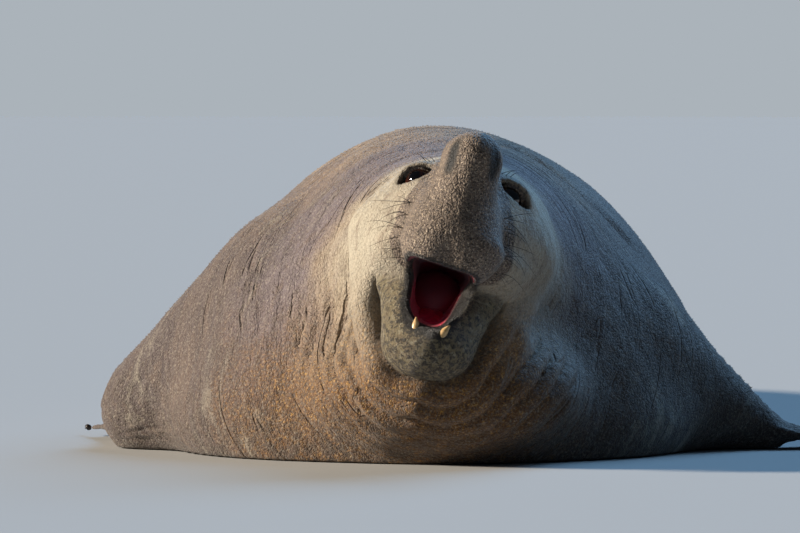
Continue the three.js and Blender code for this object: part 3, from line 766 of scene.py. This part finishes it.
def buildHide():
    c = {name: tint(code) for name, code in hideColours.items()}
    h = Finish("hide", **{"Specular IOR Level": 0.35, "Sheen Weight": 0.15, "Sheen Roughness": 0.5})
    at = h.place()
    rings = h.own("rings", 1)
    away, ring = h.own("away"), h.own("ring")
    nose, jaw, mouth, lip = h.own("nose"), h.own("jaw"), h.own("mouth"), h.own("lip")
    height = h.node("ShaderNodeSeparateXYZ", output=2, Vector=at)

    # long soft patches lie along the body's own rings, and slack lines along the neck's
    x = h.node("ShaderNodeSeparateXYZ", output=0, Vector=at)
    flow = h.node("ShaderNodeCombineXYZ", X=ring, Y=x * 0.22, Z=height * 0.22)
    broad = h.noise(at, 3.2, 4)
    patch = h.noise(at, 9.0, 5, 0.6, 0.4)
    moult = h.noise(flow, 15.0, 6, 0.68, 0.5)
    strand = h.noise(flow, 70.0, 4, 0.65)
    mottle = h.noise(at, 34.0, 4, 0.62)
    grain = h.noise(at, 170.0, 3, 0.7)
    streak = h.noise(h.stretched(rings, (1.0, 0.18, 0.18)), 46.0, 4, 0.6)
    ridge = h.noise(h.stretched(rings, (1.0, 0.13, 0.13)), 17.0, 2, 0.5, 0.3)
    wrinkle = (1 - (ridge - 0.5).size().between(0.0, 0.03)) * patch.between(0.45, 0.6)
    hairs = h.noise(h.stretched(at, (1.0, 0.25, 0.6)), 520.0, 2, 0.5)

    # where the body's own patches lie, and the painted shade on the lower right chest
    drift = ring + (broad - 0.5) * 0.35 + (moult - 0.5) * 0.22
    level = height + (patch - 0.5) * 0.25
    neckOnly = away.between(0.02, 0.08) * (1 - away.between(0.45, 0.75))
    backed = drift.between(0.64, 0.82)
    worn = moult.between(0.5, 0.66) * drift.between(0.9, 1.15) * level.between(0.3, 0.55)
    flank = drift.between(0.52, 0.8) * (1 - level.between(0.3, 0.72))
    side = drift.between(0.5, 0.75) * (1 - level.between(0.4, 0.85))
    middle = 1 - (x + 0.12).size().between(0.1, 0.42)
    low = 1 - (level - middle * 0.1).between(0.1, 0.42)
    # darker lower right chest: partly dark wet fur, partly painted shade of the head's cast shadow on the
    # unlit right side
    wetAndShade = x.between(-0.02, 0.3) * (1 - level.between(0.28, 0.68)) * (1 - jaw)

    coat = h.blend(moult.between(0.42, 0.58), c["tan"], c["brown"])
    coat = h.blend(broad.between(0.45, 0.6) * strand.between(0.4, 0.6) * 0.8, coat, c["plum"])
    grit = h.noise(at, 130.0, 4, 0.8)
    stain = h.blend(grit.between(0.55, 0.64), c["gold"], c["goldLit"])
    stain = h.blend(grit.between(0.4, 0.5), c["umber"], stain)
    colour = h.layers(
        h.blend(away.between(0.06, 0.3) * 0.8 + patch.between(0.4, 0.7) * 0.3, c["pale"], c["tan"]),
        (drift.between(0.40, 0.54) * (1 - drift.between(0.66, 0.8)), c["plum"]),
        (backed * 0.9, coat),
        (worn * strand.between(0.35, 0.6) * 0.8, c["pale"]),
        (x.between(0.05, 0.45) * drift.between(0.95, 1.2) * (1 - worn * 0.3), c["grey"]),
        (flank * (0.6 + 0.4 * moult.between(0.4, 0.6)) * 0.9, c["slate"]),
        (low * (1 - backed * 0.75), stain),
        (side * (0.7 + 0.3 * moult.between(0.38, 0.58)), c["dusk"]),
        ((1 - level.between(0.0, 0.22)) * mottle.between(0.3, 0.62) * 0.85, c["umber"]),
        # painted shade and dark wet fur on the lower right chest
        (wetAndShade * 0.9, c["umber"]),
        # wrinkle and streak lines are darkened, and small marks are scattered over all of it
        (streak.between(0.54, 0.7) * 0.28, c["umber"]),
        (wrinkle * neckOnly * 0.4, c["brown"]),
        (strand.between(0.5, 0.7) * 0.5, c["brown"]),
        (moult.between(0.54, 0.7) * away.between(0.1, 0.4) * 0.4, c["pale"]),
        (mottle.between(0.56, 0.76) * 0.5, c["umber"]),
        (grain.between(0.5, 0.66) * 0.42, c["umber"]),
        ((1 - grain.between(0.34, 0.5)) * 0.3, c["pale"]),
        (hairs.between(0.4, 0.8) * 0.16, c["pale"]),
    )

    noseTone = h.layers(
        h.blend(h.noise(at, 260.0, 3, 0.7).between(0.49, 0.68), c["nose"], c["noseFleck"]),
        (h.noise(at, 170.0, 4, 0.75).between(0.5, 0.6) * 0.85, c["noseDark"]),
        (h.noise(at, 30.0, 3, 0.6).between(0.45, 0.8) * 0.45, c["noseDark"]),
        # painted shade: the nose's right side, away from the key light, is darkened with the noseDark
        # colour
        (x.between(0.05, 0.13) * 0.6, c["noseDark"]),
    )
    blotch = h.noise(at, 95.0, 5, 0.75, 0.4)
    chin = 1 - height.between(0.19, 0.34)
    jawTone = h.layers(
        h.blend(mottle.between(0.35, 0.7) * 0.5, c["jaw"], c["brown"]),
        (h.noise(at, 60.0, 4, 0.7).between(0.52, 0.64) * 0.85, c["jawLit"]),
        ((blotch + lip * 0.12 + chin * 0.06).between(0.5, 0.57) * 0.92, c["jawDark"]),
    )
    ragged = (lip + (blotch - 0.5) * 1.3 * lip).between(0.35, 0.8)
    colour = h.layers(
        colour,
        ((nose + (patch - 0.5) * 0.35 * nose).between(0.2, 0.8), noseTone),
        ((jaw + (patch - 0.5) * 0.6 * jaw).between(0.1, 1.0) * 0.9, jawTone),
        (h.own("lidShade") * 0.6, c["lid"]),
        # painted shade darkens the jaw seam crease and the shoulder fold
        (h.own("seam") * 0.45, c["umber"]),
        (ragged * 0.92, c["lip"]),
        # painted shade: inside the mouth the colour turns to the dark throat colour towards the back and
        # top
        (mouth, h.blend(h.own("mouthShade"), c["mouth"], c["throat"])),
        # painted shade fills the nostril slits near black
        (h.own("slit"), c["slit"]),
    )
    h.set(Base_Color=colour)
    h.set(Roughness=0.74 - 0.1 * nose - 0.2 * jaw - 0.2 * ragged - 0.38 * mouth + (grain - 0.5) * 0.12)

    soft = 1 - mouth
    onNeck = (1 - away.between(0.35, 0.8)) * away.between(0.0, 0.05)
    lines = (streak - 0.5) * 0.012 * onNeck - wrinkle * neckOnly * 0.010
    leather = (h.cells(at, 95.0, "DISTANCE_TO_EDGE").between(0.0, 0.18) - 1) * 0.0012
    pores = (h.cells(at, 190.0) - 0.5) * 0.0014 * (nose + 0.25)
    fur = ((hairs - 0.5) * 0.0016 + (strand - 0.5) * 0.004 + (grain - 0.5) * 0.003) * (1 - nose)
    folds = (h.noise(h.stretched(at, (1.0, 1.4, 0.7)), 17.0, 5, 0.6) - 0.5) * 0.012
    warts = ((blotch - 0.5) * 0.03 + (mottle - 0.5) * 0.012) * jaw
    h.bump((lines + leather + pores + fur + folds + warts + (mottle - 0.5) * 0.004) * soft, 0.9)
    return h.material


skin.data.materials.append(buildHide())
print("hide material done")


def spotted(name, spots, colours, constants, relief=0):
    scale, detail, roughness, lo, hi = spots
    made = Finish(name, **constants)
    noise = made.noise(made.place(), scale, detail, roughness)
    made.set(Base_Color=made.blend(noise.between(lo, hi), *[tint(code) for code in colours]))
    if relief:
        made.bump((noise - 0.5) * relief)
    return made.material


def gloss(name, colour, roughness):
    made = Finish(name)
    made.set(Base_Color=tint(colour), Roughness=roughness)
    return made.material


# Eyes: a wet ball, its iris lost in the dark, with brown red at the corners
def eyeAxes(side):
    return [directionFromHead(v * (side, 1, 1)) for v in eyeFrame]


ballGrid = {"rows": 32, "columns": 48, "bulge": 1.6}


def ball(rows, columns):
    polar = np.pi * np.arange(rows + 1)[:, None] / rows
    turn = 2 * np.pi * np.arange(columns)[None] / columns
    across, over = np.sin(polar) * np.cos(turn), np.sin(polar) * np.sin(turn)
    return np.stack([across, over, np.cos(polar) + 0 * turn], axis=2).reshape(-1, 3)


def buildEye(side, name):
    rows, columns = ballGrid["rows"], ballGrid["columns"]
    q = ball(rows, columns)
    r = eye["radius"] + ballGrid["bulge"] * np.maximum(0.0, q[:, 2:] - 0.75) / 0.25
    points = eyeCentre[side] + r * (q @ np.array(eyeAxes(side)))
    made = makeMesh(name, points, rolled(rows, columns))
    paintMap(made.data, "polar", np.repeat(np.arange(rows + 1) / rows, columns))
    tidy(made)
    return made


def tidy(obj):
    work = bmesh.new()
    work.from_mesh(obj.data)
    bmesh.ops.remove_doubles(work, verts=work.verts, dist=1e-6)
    bmesh.ops.recalc_face_normals(work, faces=work.faces)
    work.to_mesh(obj.data)
    work.free()


eyeWet = Finish("wetEye", **{"Roughness": 0.06, "Coat Weight": 1.0, "Coat Roughness": 0.03, "IOR": 1.4})
polarWire = eyeWet.own("polar")
veins = eyeWet.noise(eyeWet.place(), 160.0, 4, 0.6)
eyeTone = eyeWet.layers(
    tint("#050404"),
    (polarWire.between(0.1, 0.17), tint("#2A1109")),
    (polarWire.between(0.2, 0.26), tint("#3B1A14")),
    ((polarWire + (veins - 0.5) * 0.05).between(0.25, 0.32), tint("#6A3A30")),
)
eyeWet.set(Base_Color=eyeTone)
for side, name in ((1, "eye_left"), (-1, "eye_right")):
    eyeBall = buildEye(side, "eyeBallLeft" if side > 0 else "eyeBallRight")
    eyeBall.data.materials.append(eyeWet.material)
    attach(eyeBall, "root")
    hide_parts(name)


def march(start, heading, reach=140, steps=180):
    t = np.linspace(reach, -60, steps)
    p = np.asarray(start)[None] + np.asarray(heading)[None] * t[:, None]
    d = sealField(*p.T)
    hit = np.argmax(d < 0)
    return p[hit] if d[hit] < 0 else np.asarray(start)


# Lids: a thick rim on the ball that runs out into the skin round it
lidShape = {
    # how wide, how far off the ball, how far out to the skin
    "rings": (
        (0.93, -2, 0), (0.97, 0.7, 0), (1.04, 4.0, 0),
        (1.15, 6.0, 0.3), (1.32, 6.0, 0.75), (1.6, 2.0, 1.0),
    ),
    "count": 64, "upper": 1.1, "lower": 0.86, "bow": 1.25, "thick": 0.002,
}


def buildLid(side, name):
    along, up, look = eyeAxes(side)
    w, high = eye["fissure"] / 2, eye["open"] / 2
    count = lidShape["count"]
    points = []
    for scale, lift, toSkin in lidShape["rings"]:
        for j in range(count):
            turn = 2 * math.pi * j / count
            x = w * math.cos(turn)
            y = high * math.copysign(abs(math.sin(turn)) ** lidShape["bow"], math.sin(turn))
            y *= lidShape["upper" if turn < math.pi else "lower"]
            grow = (scale - 1) * w
            x, y = x + grow * math.cos(turn), y + grow * math.sin(turn)
            r = eye["radius"] + lift
            flat = math.hypot(x, y)
            z = math.sqrt(max(r * r - flat * flat, 60.0))
            p = eyeCentre[side] + along * x + up * y + look * z
            if toSkin:
                surface = march(eyeCentre[side] + along * x + up * y, look)
                p = p * (1 - toSkin) + (surface - look * (2.5 if toSkin == 1 else -1.5)) * toSkin
            points.append(p)
    made = makeMesh(name, points, rolled(len(lidShape["rings"]) - 1, count))
    thick = made.modifiers.new("thick", "SOLIDIFY")
    thick.thickness, thick.offset = lidShape["thick"], -1
    return made


lidFinish = {"Specular IOR Level": 0.5, "Roughness": 0.5}
lidSkin = spotted("lidSkin", (190.0, 4, 0.6, 0.4, 0.7), ("#2B221E", "#776757"), lidFinish, 0.003)
for side, name in ((1, "lidsLeft"), (-1, "lidsRight")):
    lid = buildLid(side, name)
    lid.data.materials.append(lidSkin)
    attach(lid, "root")
print("eyes and lids done")


# Teeth, claws and gum are tapering tubes along a bent line
def tube(curve, radii, sides):
    curve = np.asarray(curve, float)
    rings = []
    reference = np.array([0.13, 0.21, 0.97])
    for i, p in enumerate(curve):
        tangent = curve[min(i + 1, len(curve) - 1)] - curve[max(i - 1, 0)]
        tangent /= np.linalg.norm(tangent)
        side = np.cross(reference, tangent)
        side /= np.linalg.norm(side)
        over = np.cross(tangent, side)
        turns = 2 * np.pi * np.arange(sides) / sides
        rings.append(p + radii[i] * (np.cos(turns)[:, None] * side + np.sin(turns)[:, None] * over))
    points = list(np.concatenate(rings)) + [curve[0], curve[-1]]
    n = len(curve)
    faces = rolled(n - 1, sides)
    for j in range(sides):
        k = (j + 1) % sides
        faces.append((len(points) - 2, k, j))
        faces.append((len(points) - 1, (n - 1) * sides + j, (n - 1) * sides + k))
    return points, faces


def bent(a, b, c, count):
    t = np.linspace(0, 1, count)[:, None]
    return (1 - t) ** 2 * np.asarray(a) + 2 * t * (1 - t) * np.asarray(b) + t * t * np.asarray(c)


def joined(name, tubes):
    points, faces = [], []
    for p, f in tubes:
        start = len(points)
        points += list(p)
        faces += [tuple(start + i for i in face) for face in f]
    made = makeMesh(name, points, faces)
    tidy(made)
    return made


canines = {
    "canine_right": {"a": -40, "f": 160, "u": -403, "lean": -0.12, "length": 48, "thick": 14},
    "canine_left": {"a": 15, "f": 163, "u": -402, "lean": 0.5, "length": 42, "thick": 15},
}
ivoryFinish = {"Roughness": 0.32, "Subsurface Weight": 0.15, "Subsurface Radius": (0.01, 0.006, 0.003)}
ivory = spotted("ivory", (90.0, 4, 0.6, 0.35, 0.75), ("#E2C08C", "#A87C48"), ivoryFinish)
for name, c in canines.items():
    line = bent(
        fromHead((c["a"], c["f"] - 14, c["u"] - 20)),
        fromHead((c["a"] + c["lean"] * 8, c["f"] + 11, c["u"] + c["length"] * 0.5)),
        fromHead((c["a"] + c["lean"] * c["length"], c["f"] + 4, c["u"] + c["length"])),
        16,
    )
    t = np.linspace(0, 1, 16)
    tooth = joined("lowerCanine" + name[7:].title(), [tube(line, c["thick"] * (1 - 0.9 * t**2.1), 20)])
    tooth.data.materials.append(ivory)
    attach(tooth, "root")
    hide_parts(name)


def newTree(name, inputs):
    tree = bpy.data.node_groups.new(name, "GeometryNodeTree")
    tree.interface.new_socket("Geometry", in_out="INPUT", socket_type="NodeSocketGeometry")
    made = {}
    for key, kind in inputs.items():
        made[key] = tree.interface.new_socket(key, in_out="INPUT", socket_type=kind)
    tree.interface.new_socket("Geometry", in_out="OUTPUT", socket_type="NodeSocketGeometry")
    start = tree.nodes.new("NodeGroupInput")
    wires = {key: Wire(tree, start.outputs[key]) for key in ["Geometry", *inputs]}
    return tree, wires, {key: socket.identifier for key, socket in made.items()}


def finishTree(tree, geometry, material):
    real = nodeIn(tree, "GeometryNodeRealizeInstances", Geometry=geometry)
    last = nodeIn(tree, "GeometryNodeSetMaterial", Geometry=real, Material=material)
    feed(tree, tree.nodes.new("NodeGroupOutput").inputs[0], last)


def grown(obj, tree, names, values):
    modifier = obj.modifiers.new(tree.name, "NODES")
    modifier.node_group = tree
    for key, value in values.items():
        modifier[names[key]] = value
    graph = bpy.context.evaluated_depsgraph_get()
    whole = obj.evaluated_get(graph)
    mesh = bpy.data.meshes.new_from_object(whole, preserve_all_data_layers=True, depsgraph=graph)
    obj.modifiers.clear()
    obj.data = mesh
    return obj


whiskerSet = {"Sides": 5, "Thickness": 0.00095}
whiskerPlan = {
    "seed": 21, "points": 9, "rows": 5, "each": 3, "across": 60, "apart": 13, "level": -84, "drop": 30,
    "length": (30, 105), "brow": 3, "browLength": (22, 40),
}


def whiskerLines():
    w = whiskerPlan
    draw = np.random.default_rng(w["seed"])
    lines = []
    for side in (-1, 1):
        for row in range(w["rows"]):
            for n in range(w["each"]):
                a = side * (w["across"] + w["apart"] * n + 6 * draw.uniform(-1, 1))
                u = w["level"] - w["drop"] * row + 9 * draw.uniform(-1, 1)
                heading = directionFromHead((side * 0.75, 0.65, 0.05))
                root = march(fromHead((a, 60, u)), heading, 160, 240)
                length = draw.uniform(*w["length"])
                out = directionFromHead((side * 0.9, 0.35, 0.1 + 0.5 * draw.uniform(-1, 1)))
                drop = directionFromHead((side * 0.3, -0.3, -0.6 + 0.8 * draw.uniform(-1, 1)))
                tip = root + out * length * 0.8 + drop * length * 0.6
                lines.append(bent(root - heading * 6, root + out * length * 0.55, tip, w["points"]))
        for n in range(w["brow"]):
            above = directionFromHead((0, 0.5, 0.86))
            root = march(fromHead((side * (80 + 11 * n), -20, 30)), above, 90, 160)
            out = unit(directionFromHead((side * draw.uniform(0.2, 0.9), 0.5, draw.uniform(0.5, 0.9))))
            tip = root + out * draw.uniform(*w["browLength"]) + np.array([side * 8, 0, -6])
            lines.append(bent(root - out * 5, root + out * 18, tip, w["points"]))
    return lines


def buildWhiskers(material):
    lines = whiskerLines()
    count = len(lines[0])
    mesh = bpy.data.meshes.new("whiskers")
    edges = [(n * count + i, n * count + i + 1) for n in range(len(lines)) for i in range(count - 1)]
    mesh.from_pydata([tuple(p) for p in toFrame(np.concatenate(lines))], edges, [])
    paintMap(mesh, "thin", np.tile(1 - 0.75 * np.linspace(0, 1, count), len(lines)))
    made = linked("whiskers", mesh)
    tree, wires, names = newTree("bristles", {"Sides": "NodeSocketInt", "Thickness": "NodeSocketFloat"})
    curve = nodeIn(tree, "GeometryNodeMeshToCurve", Mesh=wires["Geometry"])
    thin = nodeIn(tree, "GeometryNodeInputNamedAttribute", {"data_type": "FLOAT"}, Name="thin")
    ring = nodeIn(tree, "GeometryNodeCurvePrimitiveCircle", Resolution=wires["Sides"], Radius=1.0)
    shape = {"Profile Curve": ring, "Fill Caps": True, "Scale": thin * wires["Thickness"]}
    solid = nodeIn(tree, "GeometryNodeCurveToMesh", Curve=curve, **shape)
    finishTree(tree, solid, material)
    return grown(made, tree, names, whiskerSet)


whiskers = buildWhiskers(gloss("horn", "#1B1512", 0.4))
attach(whiskers, "root")


def digitTip(h, digit):
    forward, across, up = handAxes(h)
    apex, behind = handApex(h, forward)
    turn = math.radians(h["turns"][digit])
    out = forward * math.cos(turn) + across * math.sin(turn)
    return apex + out * (behind + h["lengths"][digit]) - up * h["droop"], out, up


clawShape = {"points": 8, "radius": 7.5, "taper": 0.88, "sides": 10, "clear": 3}


def buildClaws():
    c = clawShape
    radii = c["radius"] * (1 - c["taper"] * np.linspace(0, 1, c["points"]) ** 1.5)
    tubes = []
    for name in ("foreLeft", "foreRight"):
        for digit in range(5):
            tip, out, up = digitTip(hands[name], digit)
            start, bend, end = tip - out * 20 + up * 2, tip + out * 14 + up * 8, tip + out * 32 - up * 3
            end[2] = max(end[2], c["clear"])
            tubes.append(tube(bent(start, bend, end, c["points"]), radii, c["sides"]))
    return joined("claws", tubes)


claws = buildClaws()
claws.data.materials.append(gloss("claw", "#2A211C", 0.35))
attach(claws, "root")


# Tongue, palate and gum
tongueShape = {
    "rows": 26, "columns": 36, "half": (44, 104, 38), "groove": 5, "grooveWidth": 0.22,
    "middle": (-16, 42, -350), "turn": -20,
}


def buildTongue():
    t = tongueShape
    c, s = math.cos(math.radians(t["turn"])), math.sin(math.radians(t["turn"]))
    a, u, f = ball(t["rows"], t["columns"]).T
    groove = t["groove"] * np.exp(-((a / t["grooveWidth"]) ** 2)) * np.maximum(u, 0)
    a, f, u = a * t["half"][0], -f * t["half"][1], u * (t["half"][2] - groove)
    turned = np.stack([a, f * c - u * s, f * s + u * c], axis=1)
    made = makeMesh("tongue.piece", fromHead(turned + t["middle"]), rolled(t["rows"], t["columns"]))
    tidy(made)
    return made


palateShape = {"middle": (-16, -12, -282), "half": (66, 50, 70)}


def buildPalate():
    work = bmesh.new()
    bmesh.ops.create_uvsphere(work, u_segments=40, v_segments=28, radius=1)
    points = [fromHead(np.array(v.co) * palateShape["half"] + palateShape["middle"]) for v in work.verts]
    faces = [[v.index for v in face.verts] for face in work.faces]
    work.free()
    made = makeMesh("palate", points, faces)
    tidy(made)
    return made


tongue = buildTongue()
wetFinish = {"Roughness": 0.3, "Coat Weight": 0.4, "Coat Roughness": 0.15}
wetFlesh = spotted("wetFlesh", (70.0, 4, 0.6, 0.3, 0.7), ("#B0163C", "#DA2450"), wetFinish, 0.004)
tongue.data.materials.append(wetFlesh)
palate = buildPalate()
throatFlesh = Finish("throatFlesh", **{"Roughness": 0.5})
# painted shade: the palate is painted darker towards its top
throatRise = throatFlesh.node("ShaderNodeSeparateXYZ", output=2, Vector=throatFlesh.place())
throatShadeTone = throatFlesh.blend(throatRise.between(0.33, 0.43), tint("#B0163C"), tint("#4A0918"))
throatFlesh.set(Base_Color=throatShadeTone)
palate.data.materials.append(throatFlesh.material)
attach(palate, "root")
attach(tongue, "root")
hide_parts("tongue")

gumShape = {
    "line": (
        (-64, 122, -380), (-54, 148, -396), (-36, 162, -406), (-14, 166, -408),
        (6, 164, -406), (24, 150, -398), (36, 122, -384),
    ),
    "radii": (7, 12, 14, 14, 14, 12, 7), "sides": 14,
}
gum = joined("gum", [tube([fromHead(p) for p in gumShape["line"]], gumShape["radii"], gumShape["sides"])])
soften = gum.modifiers.new("round", "SUBSURF")
soften.levels = soften.render_levels = 2
gumFinish = {"Roughness": 0.35, "Coat Weight": 0.3}
gumFlesh = spotted("gumFlesh", (60.0, 3.0, 0.55, 0.4, 0.65), ("#8E5F69", "#5B3A40"), gumFinish)
gum.data.materials.append(gumFlesh)
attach(gum, "root")
print("mouth, whiskers and claws done")


# Short flat hair, in tufts that lie back along the body and break its outline
tuftSet = {"Density": 6200.0, "Length": 0.015, "Seed": 4}
bladeShape = {
    "wide": 0.2, "taper": 0.97, "lift": 0.2, "sunk": 0.06, "shortest": 0.65, "varies": 0.7, "patch": 0.003,
}


def tuftCarrier():
    made = skin.copy()
    made.data = skin.data.copy()
    made.name = made.data.name = "coatTufts"
    bpy.context.scene.collection.objects.link(made)
    flat = np.empty(len(made.data.vertices) * 3, np.float32)
    made.data.vertices.foreach_get("co", flat)
    p = (flat.reshape(-1, 3) + shift) * 1000
    part = sealField(*p.T, full=True)
    normal = direction(p)
    back = np.array([0.0, 1.0, -0.2])
    lie = back - normal * (normal @ back)[:, None]
    bare = smooth(10, 60, part["mouth"]) * smooth(52, 80, toEyes(p)) * smooth(22, 50, p[:, 2])
    face = 1 - smooth(20, 220, part["away"])
    foot = np.maximum(smooth(760, 860, np.abs(p[:, 0])), smooth(4060, 4160, p[:, 1]))
    around = np.arctan2(p[:, 0] - station(p[:, 1], "middle"), -(p[:, 2] - 250)) / (2 * math.pi) + 0.5
    paintMap(made.data, "furry", bare * (1 - 0.25 * foot))
    paintMap(made.data, "furSize", mix(1.0, 0.42, np.maximum(face, foot)))
    paintMap(made.data, "lie", lie)
    paintMap(made.data, "unwrap", np.stack([around, (p[:, 1] + 300) / 5200, 0 * around], axis=1))
    return made


def buildTufts(material):
    b = bladeShape
    inputs = {"Density": "NodeSocketFloat", "Length": "NodeSocketFloat", "Seed": "NodeSocketInt"}
    tree, wires, names = newTree("tufts", inputs)

    def own(name, kind):
        return nodeIn(tree, "GeometryNodeInputNamedAttribute", {"data_type": kind}, Name=name)

    def stored(geometry, name, value, kind, domain):
        return nodeIn(
            tree, "GeometryNodeStoreNamedAttribute", {"data_type": kind, "domain": domain},
            Geometry=geometry, Name=name, Value=value,
        )

    def vector(operation, *values):
        made = tree.nodes.new("ShaderNodeVectorMath")
        made.operation = operation
        sockets = (made.inputs[0], made.inputs[3]) if operation == "SCALE" else made.inputs
        for socket, value in zip(sockets, values):
            feed(tree, socket, value)
        return Wire(tree, made.outputs[0])

    # one blade: flat, tapered, its root just under the skin and its tip a little above
    grid = {"Size X": 1.0, "Size Y": 1.0, "Vertices X": 3, "Vertices Y": 2}
    blade = nodeIn(tree, "GeometryNodeMeshGrid", **grid)
    at = nodeIn(tree, "GeometryNodeInputPosition")
    along = nodeIn(tree, "ShaderNodeSeparateXYZ", output=0, Vector=at) + 0.5
    beside = nodeIn(tree, "ShaderNodeSeparateXYZ", output=1, Vector=at)
    narrow = beside * b["wide"] * (1 - along ** 1.6 * b["taper"])
    shape = nodeIn(tree, "ShaderNodeCombineXYZ", X=along, Y=narrow, Z=along ** 1.3 * b["lift"] - b["sunk"])
    blade = nodeIn(tree, "GeometryNodeSetPosition", Geometry=blade, Position=shape)
    blade = stored(blade, "leaf", nodeIn(tree, "GeometryNodeInputPosition"), "FLOAT_VECTOR", "POINT")
    points = nodeIn(
        tree, "GeometryNodeDistributePointsOnFaces", Mesh=wires["Geometry"],
        Density=own("furry", "FLOAT") * wires["Density"], Seed=wires["Seed"],
    )
    upright = Wire(tree, points.socket.node.outputs["Rotation"])
    chance = nodeIn(tree, "ShaderNodeTexWhiteNoise", Vector=vector("SCALE", at, 917.0))
    turn = nodeIn(
        tree, "FunctionNodeAlignRotationToVector", {"axis": "X", "pivot_axis": "Z"},
        Rotation=upright, Vector=own("lie", "FLOAT_VECTOR"),
    )
    tall = own("furSize", "FLOAT") * wires["Length"] * (chance * b["varies"] + b["shortest"])
    many = nodeIn(
        tree, "GeometryNodeInstanceOnPoints", Points=points, Instance=blade, Rotation=turn,
        Scale=vector("SCALE", (1.0, 1.0, 1.0), tall),
    )
    many = nodeIn(tree, "GeometryNodeRealizeInstances", Geometry=many)
    leaf = vector("SCALE", own("leaf", "FLOAT_VECTOR"), b["patch"])
    patch = vector("ADD", own("unwrap", "FLOAT_VECTOR"), leaf)
    many = stored(many, "OFBake", patch, "FLOAT2", "CORNER")
    finishTree(tree, many, material)
    return grown(tuftCarrier(), tree, names, tuftSet)


tufts = buildTufts(skin.data.materials[0])
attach(tufts, "root")
print("tufts:", len(tufts.data.polygons), "faces")


floorHalf = 300


def buildStage():
    mesh = bpy.data.meshes.new("floor")
    s = floorHalf
    mesh.from_pydata([(-s, -s, 0), (s, -s, 0), (s, s, 0), (-s, s, 0)], [], [(0, 1, 2, 3)])
    floor = linked("floor", mesh)
    floor.data.materials.append(gloss("plainFloor", "#A8A7A5", 0.9))


cameraSet = {
    "across": -0.1003, "back": -15, "high": 0.870, "tilt": 88.5, "lens": 287.2, "sensor": 36, "far": 400,
}


def buildCamera():
    data = bpy.data.cameras.new("camera")
    made = linked("camera", data)
    bpy.context.scene.camera = made
    data.sensor_width = cameraSet["sensor"]
    data.lens = cameraSet["lens"]
    data.clip_end = cameraSet["far"]
    made.location = (cameraSet["across"] - shift[0], cameraSet["back"] - shift[1], cameraSet["high"])
    made.rotation_euler = (math.radians(cameraSet["tilt"]), 0, 0)


lights = {
    "key": {"from": (-0.95, 0.0, 0.34), "strength": 7.2, "angle": 8, "colour": (1.0, 0.9, 0.76)},
    "sky": {"from": (0.42, 0.68, 0.62), "strength": 2.7, "angle": 40, "colour": (0.30, 0.60, 1.0)},
}


worldSet = {"lit": ((0.42, 0.60, 0.85, 1), 0.06), "seen": (tint("#ABB3BA"), 1.0)}


def buildLights():
    for name, setting in lights.items():
        data = bpy.data.lights.new(name, "SUN")
        data.energy, data.color = setting["strength"], setting["colour"]
        data.angle = math.radians(setting["angle"])
        made = linked(name, data)
        made.rotation_mode = "QUATERNION"
        made.rotation_quaternion = Vector(setting["from"]).to_track_quat("Z", "Y")
    world = bpy.data.worlds.new("studio")
    bpy.context.scene.world = world
    world.use_nodes = True
    tree = world.node_tree
    dim = tree.nodes["Background"]
    seen = tree.nodes.new("ShaderNodeBackground")
    for node, (colour, strength) in ((dim, worldSet["lit"]), (seen, worldSet["seen"])):
        node.inputs[0].default_value, node.inputs[1].default_value = colour, strength
    choose = nodeIn(tree, "ShaderNodeMixShader", Fac=nodeIn(tree, "ShaderNodeLightPath"))
    tree.links.new(dim.outputs[0], choose.socket.node.inputs[1])
    tree.links.new(seen.outputs[0], choose.socket.node.inputs[2])
    tree.links.new(choose.socket, tree.nodes["World Output"].inputs[0])
    bpy.context.scene.view_settings.view_transform = "Standard"


buildStage()
buildCamera()
buildLights()
print("stage done")
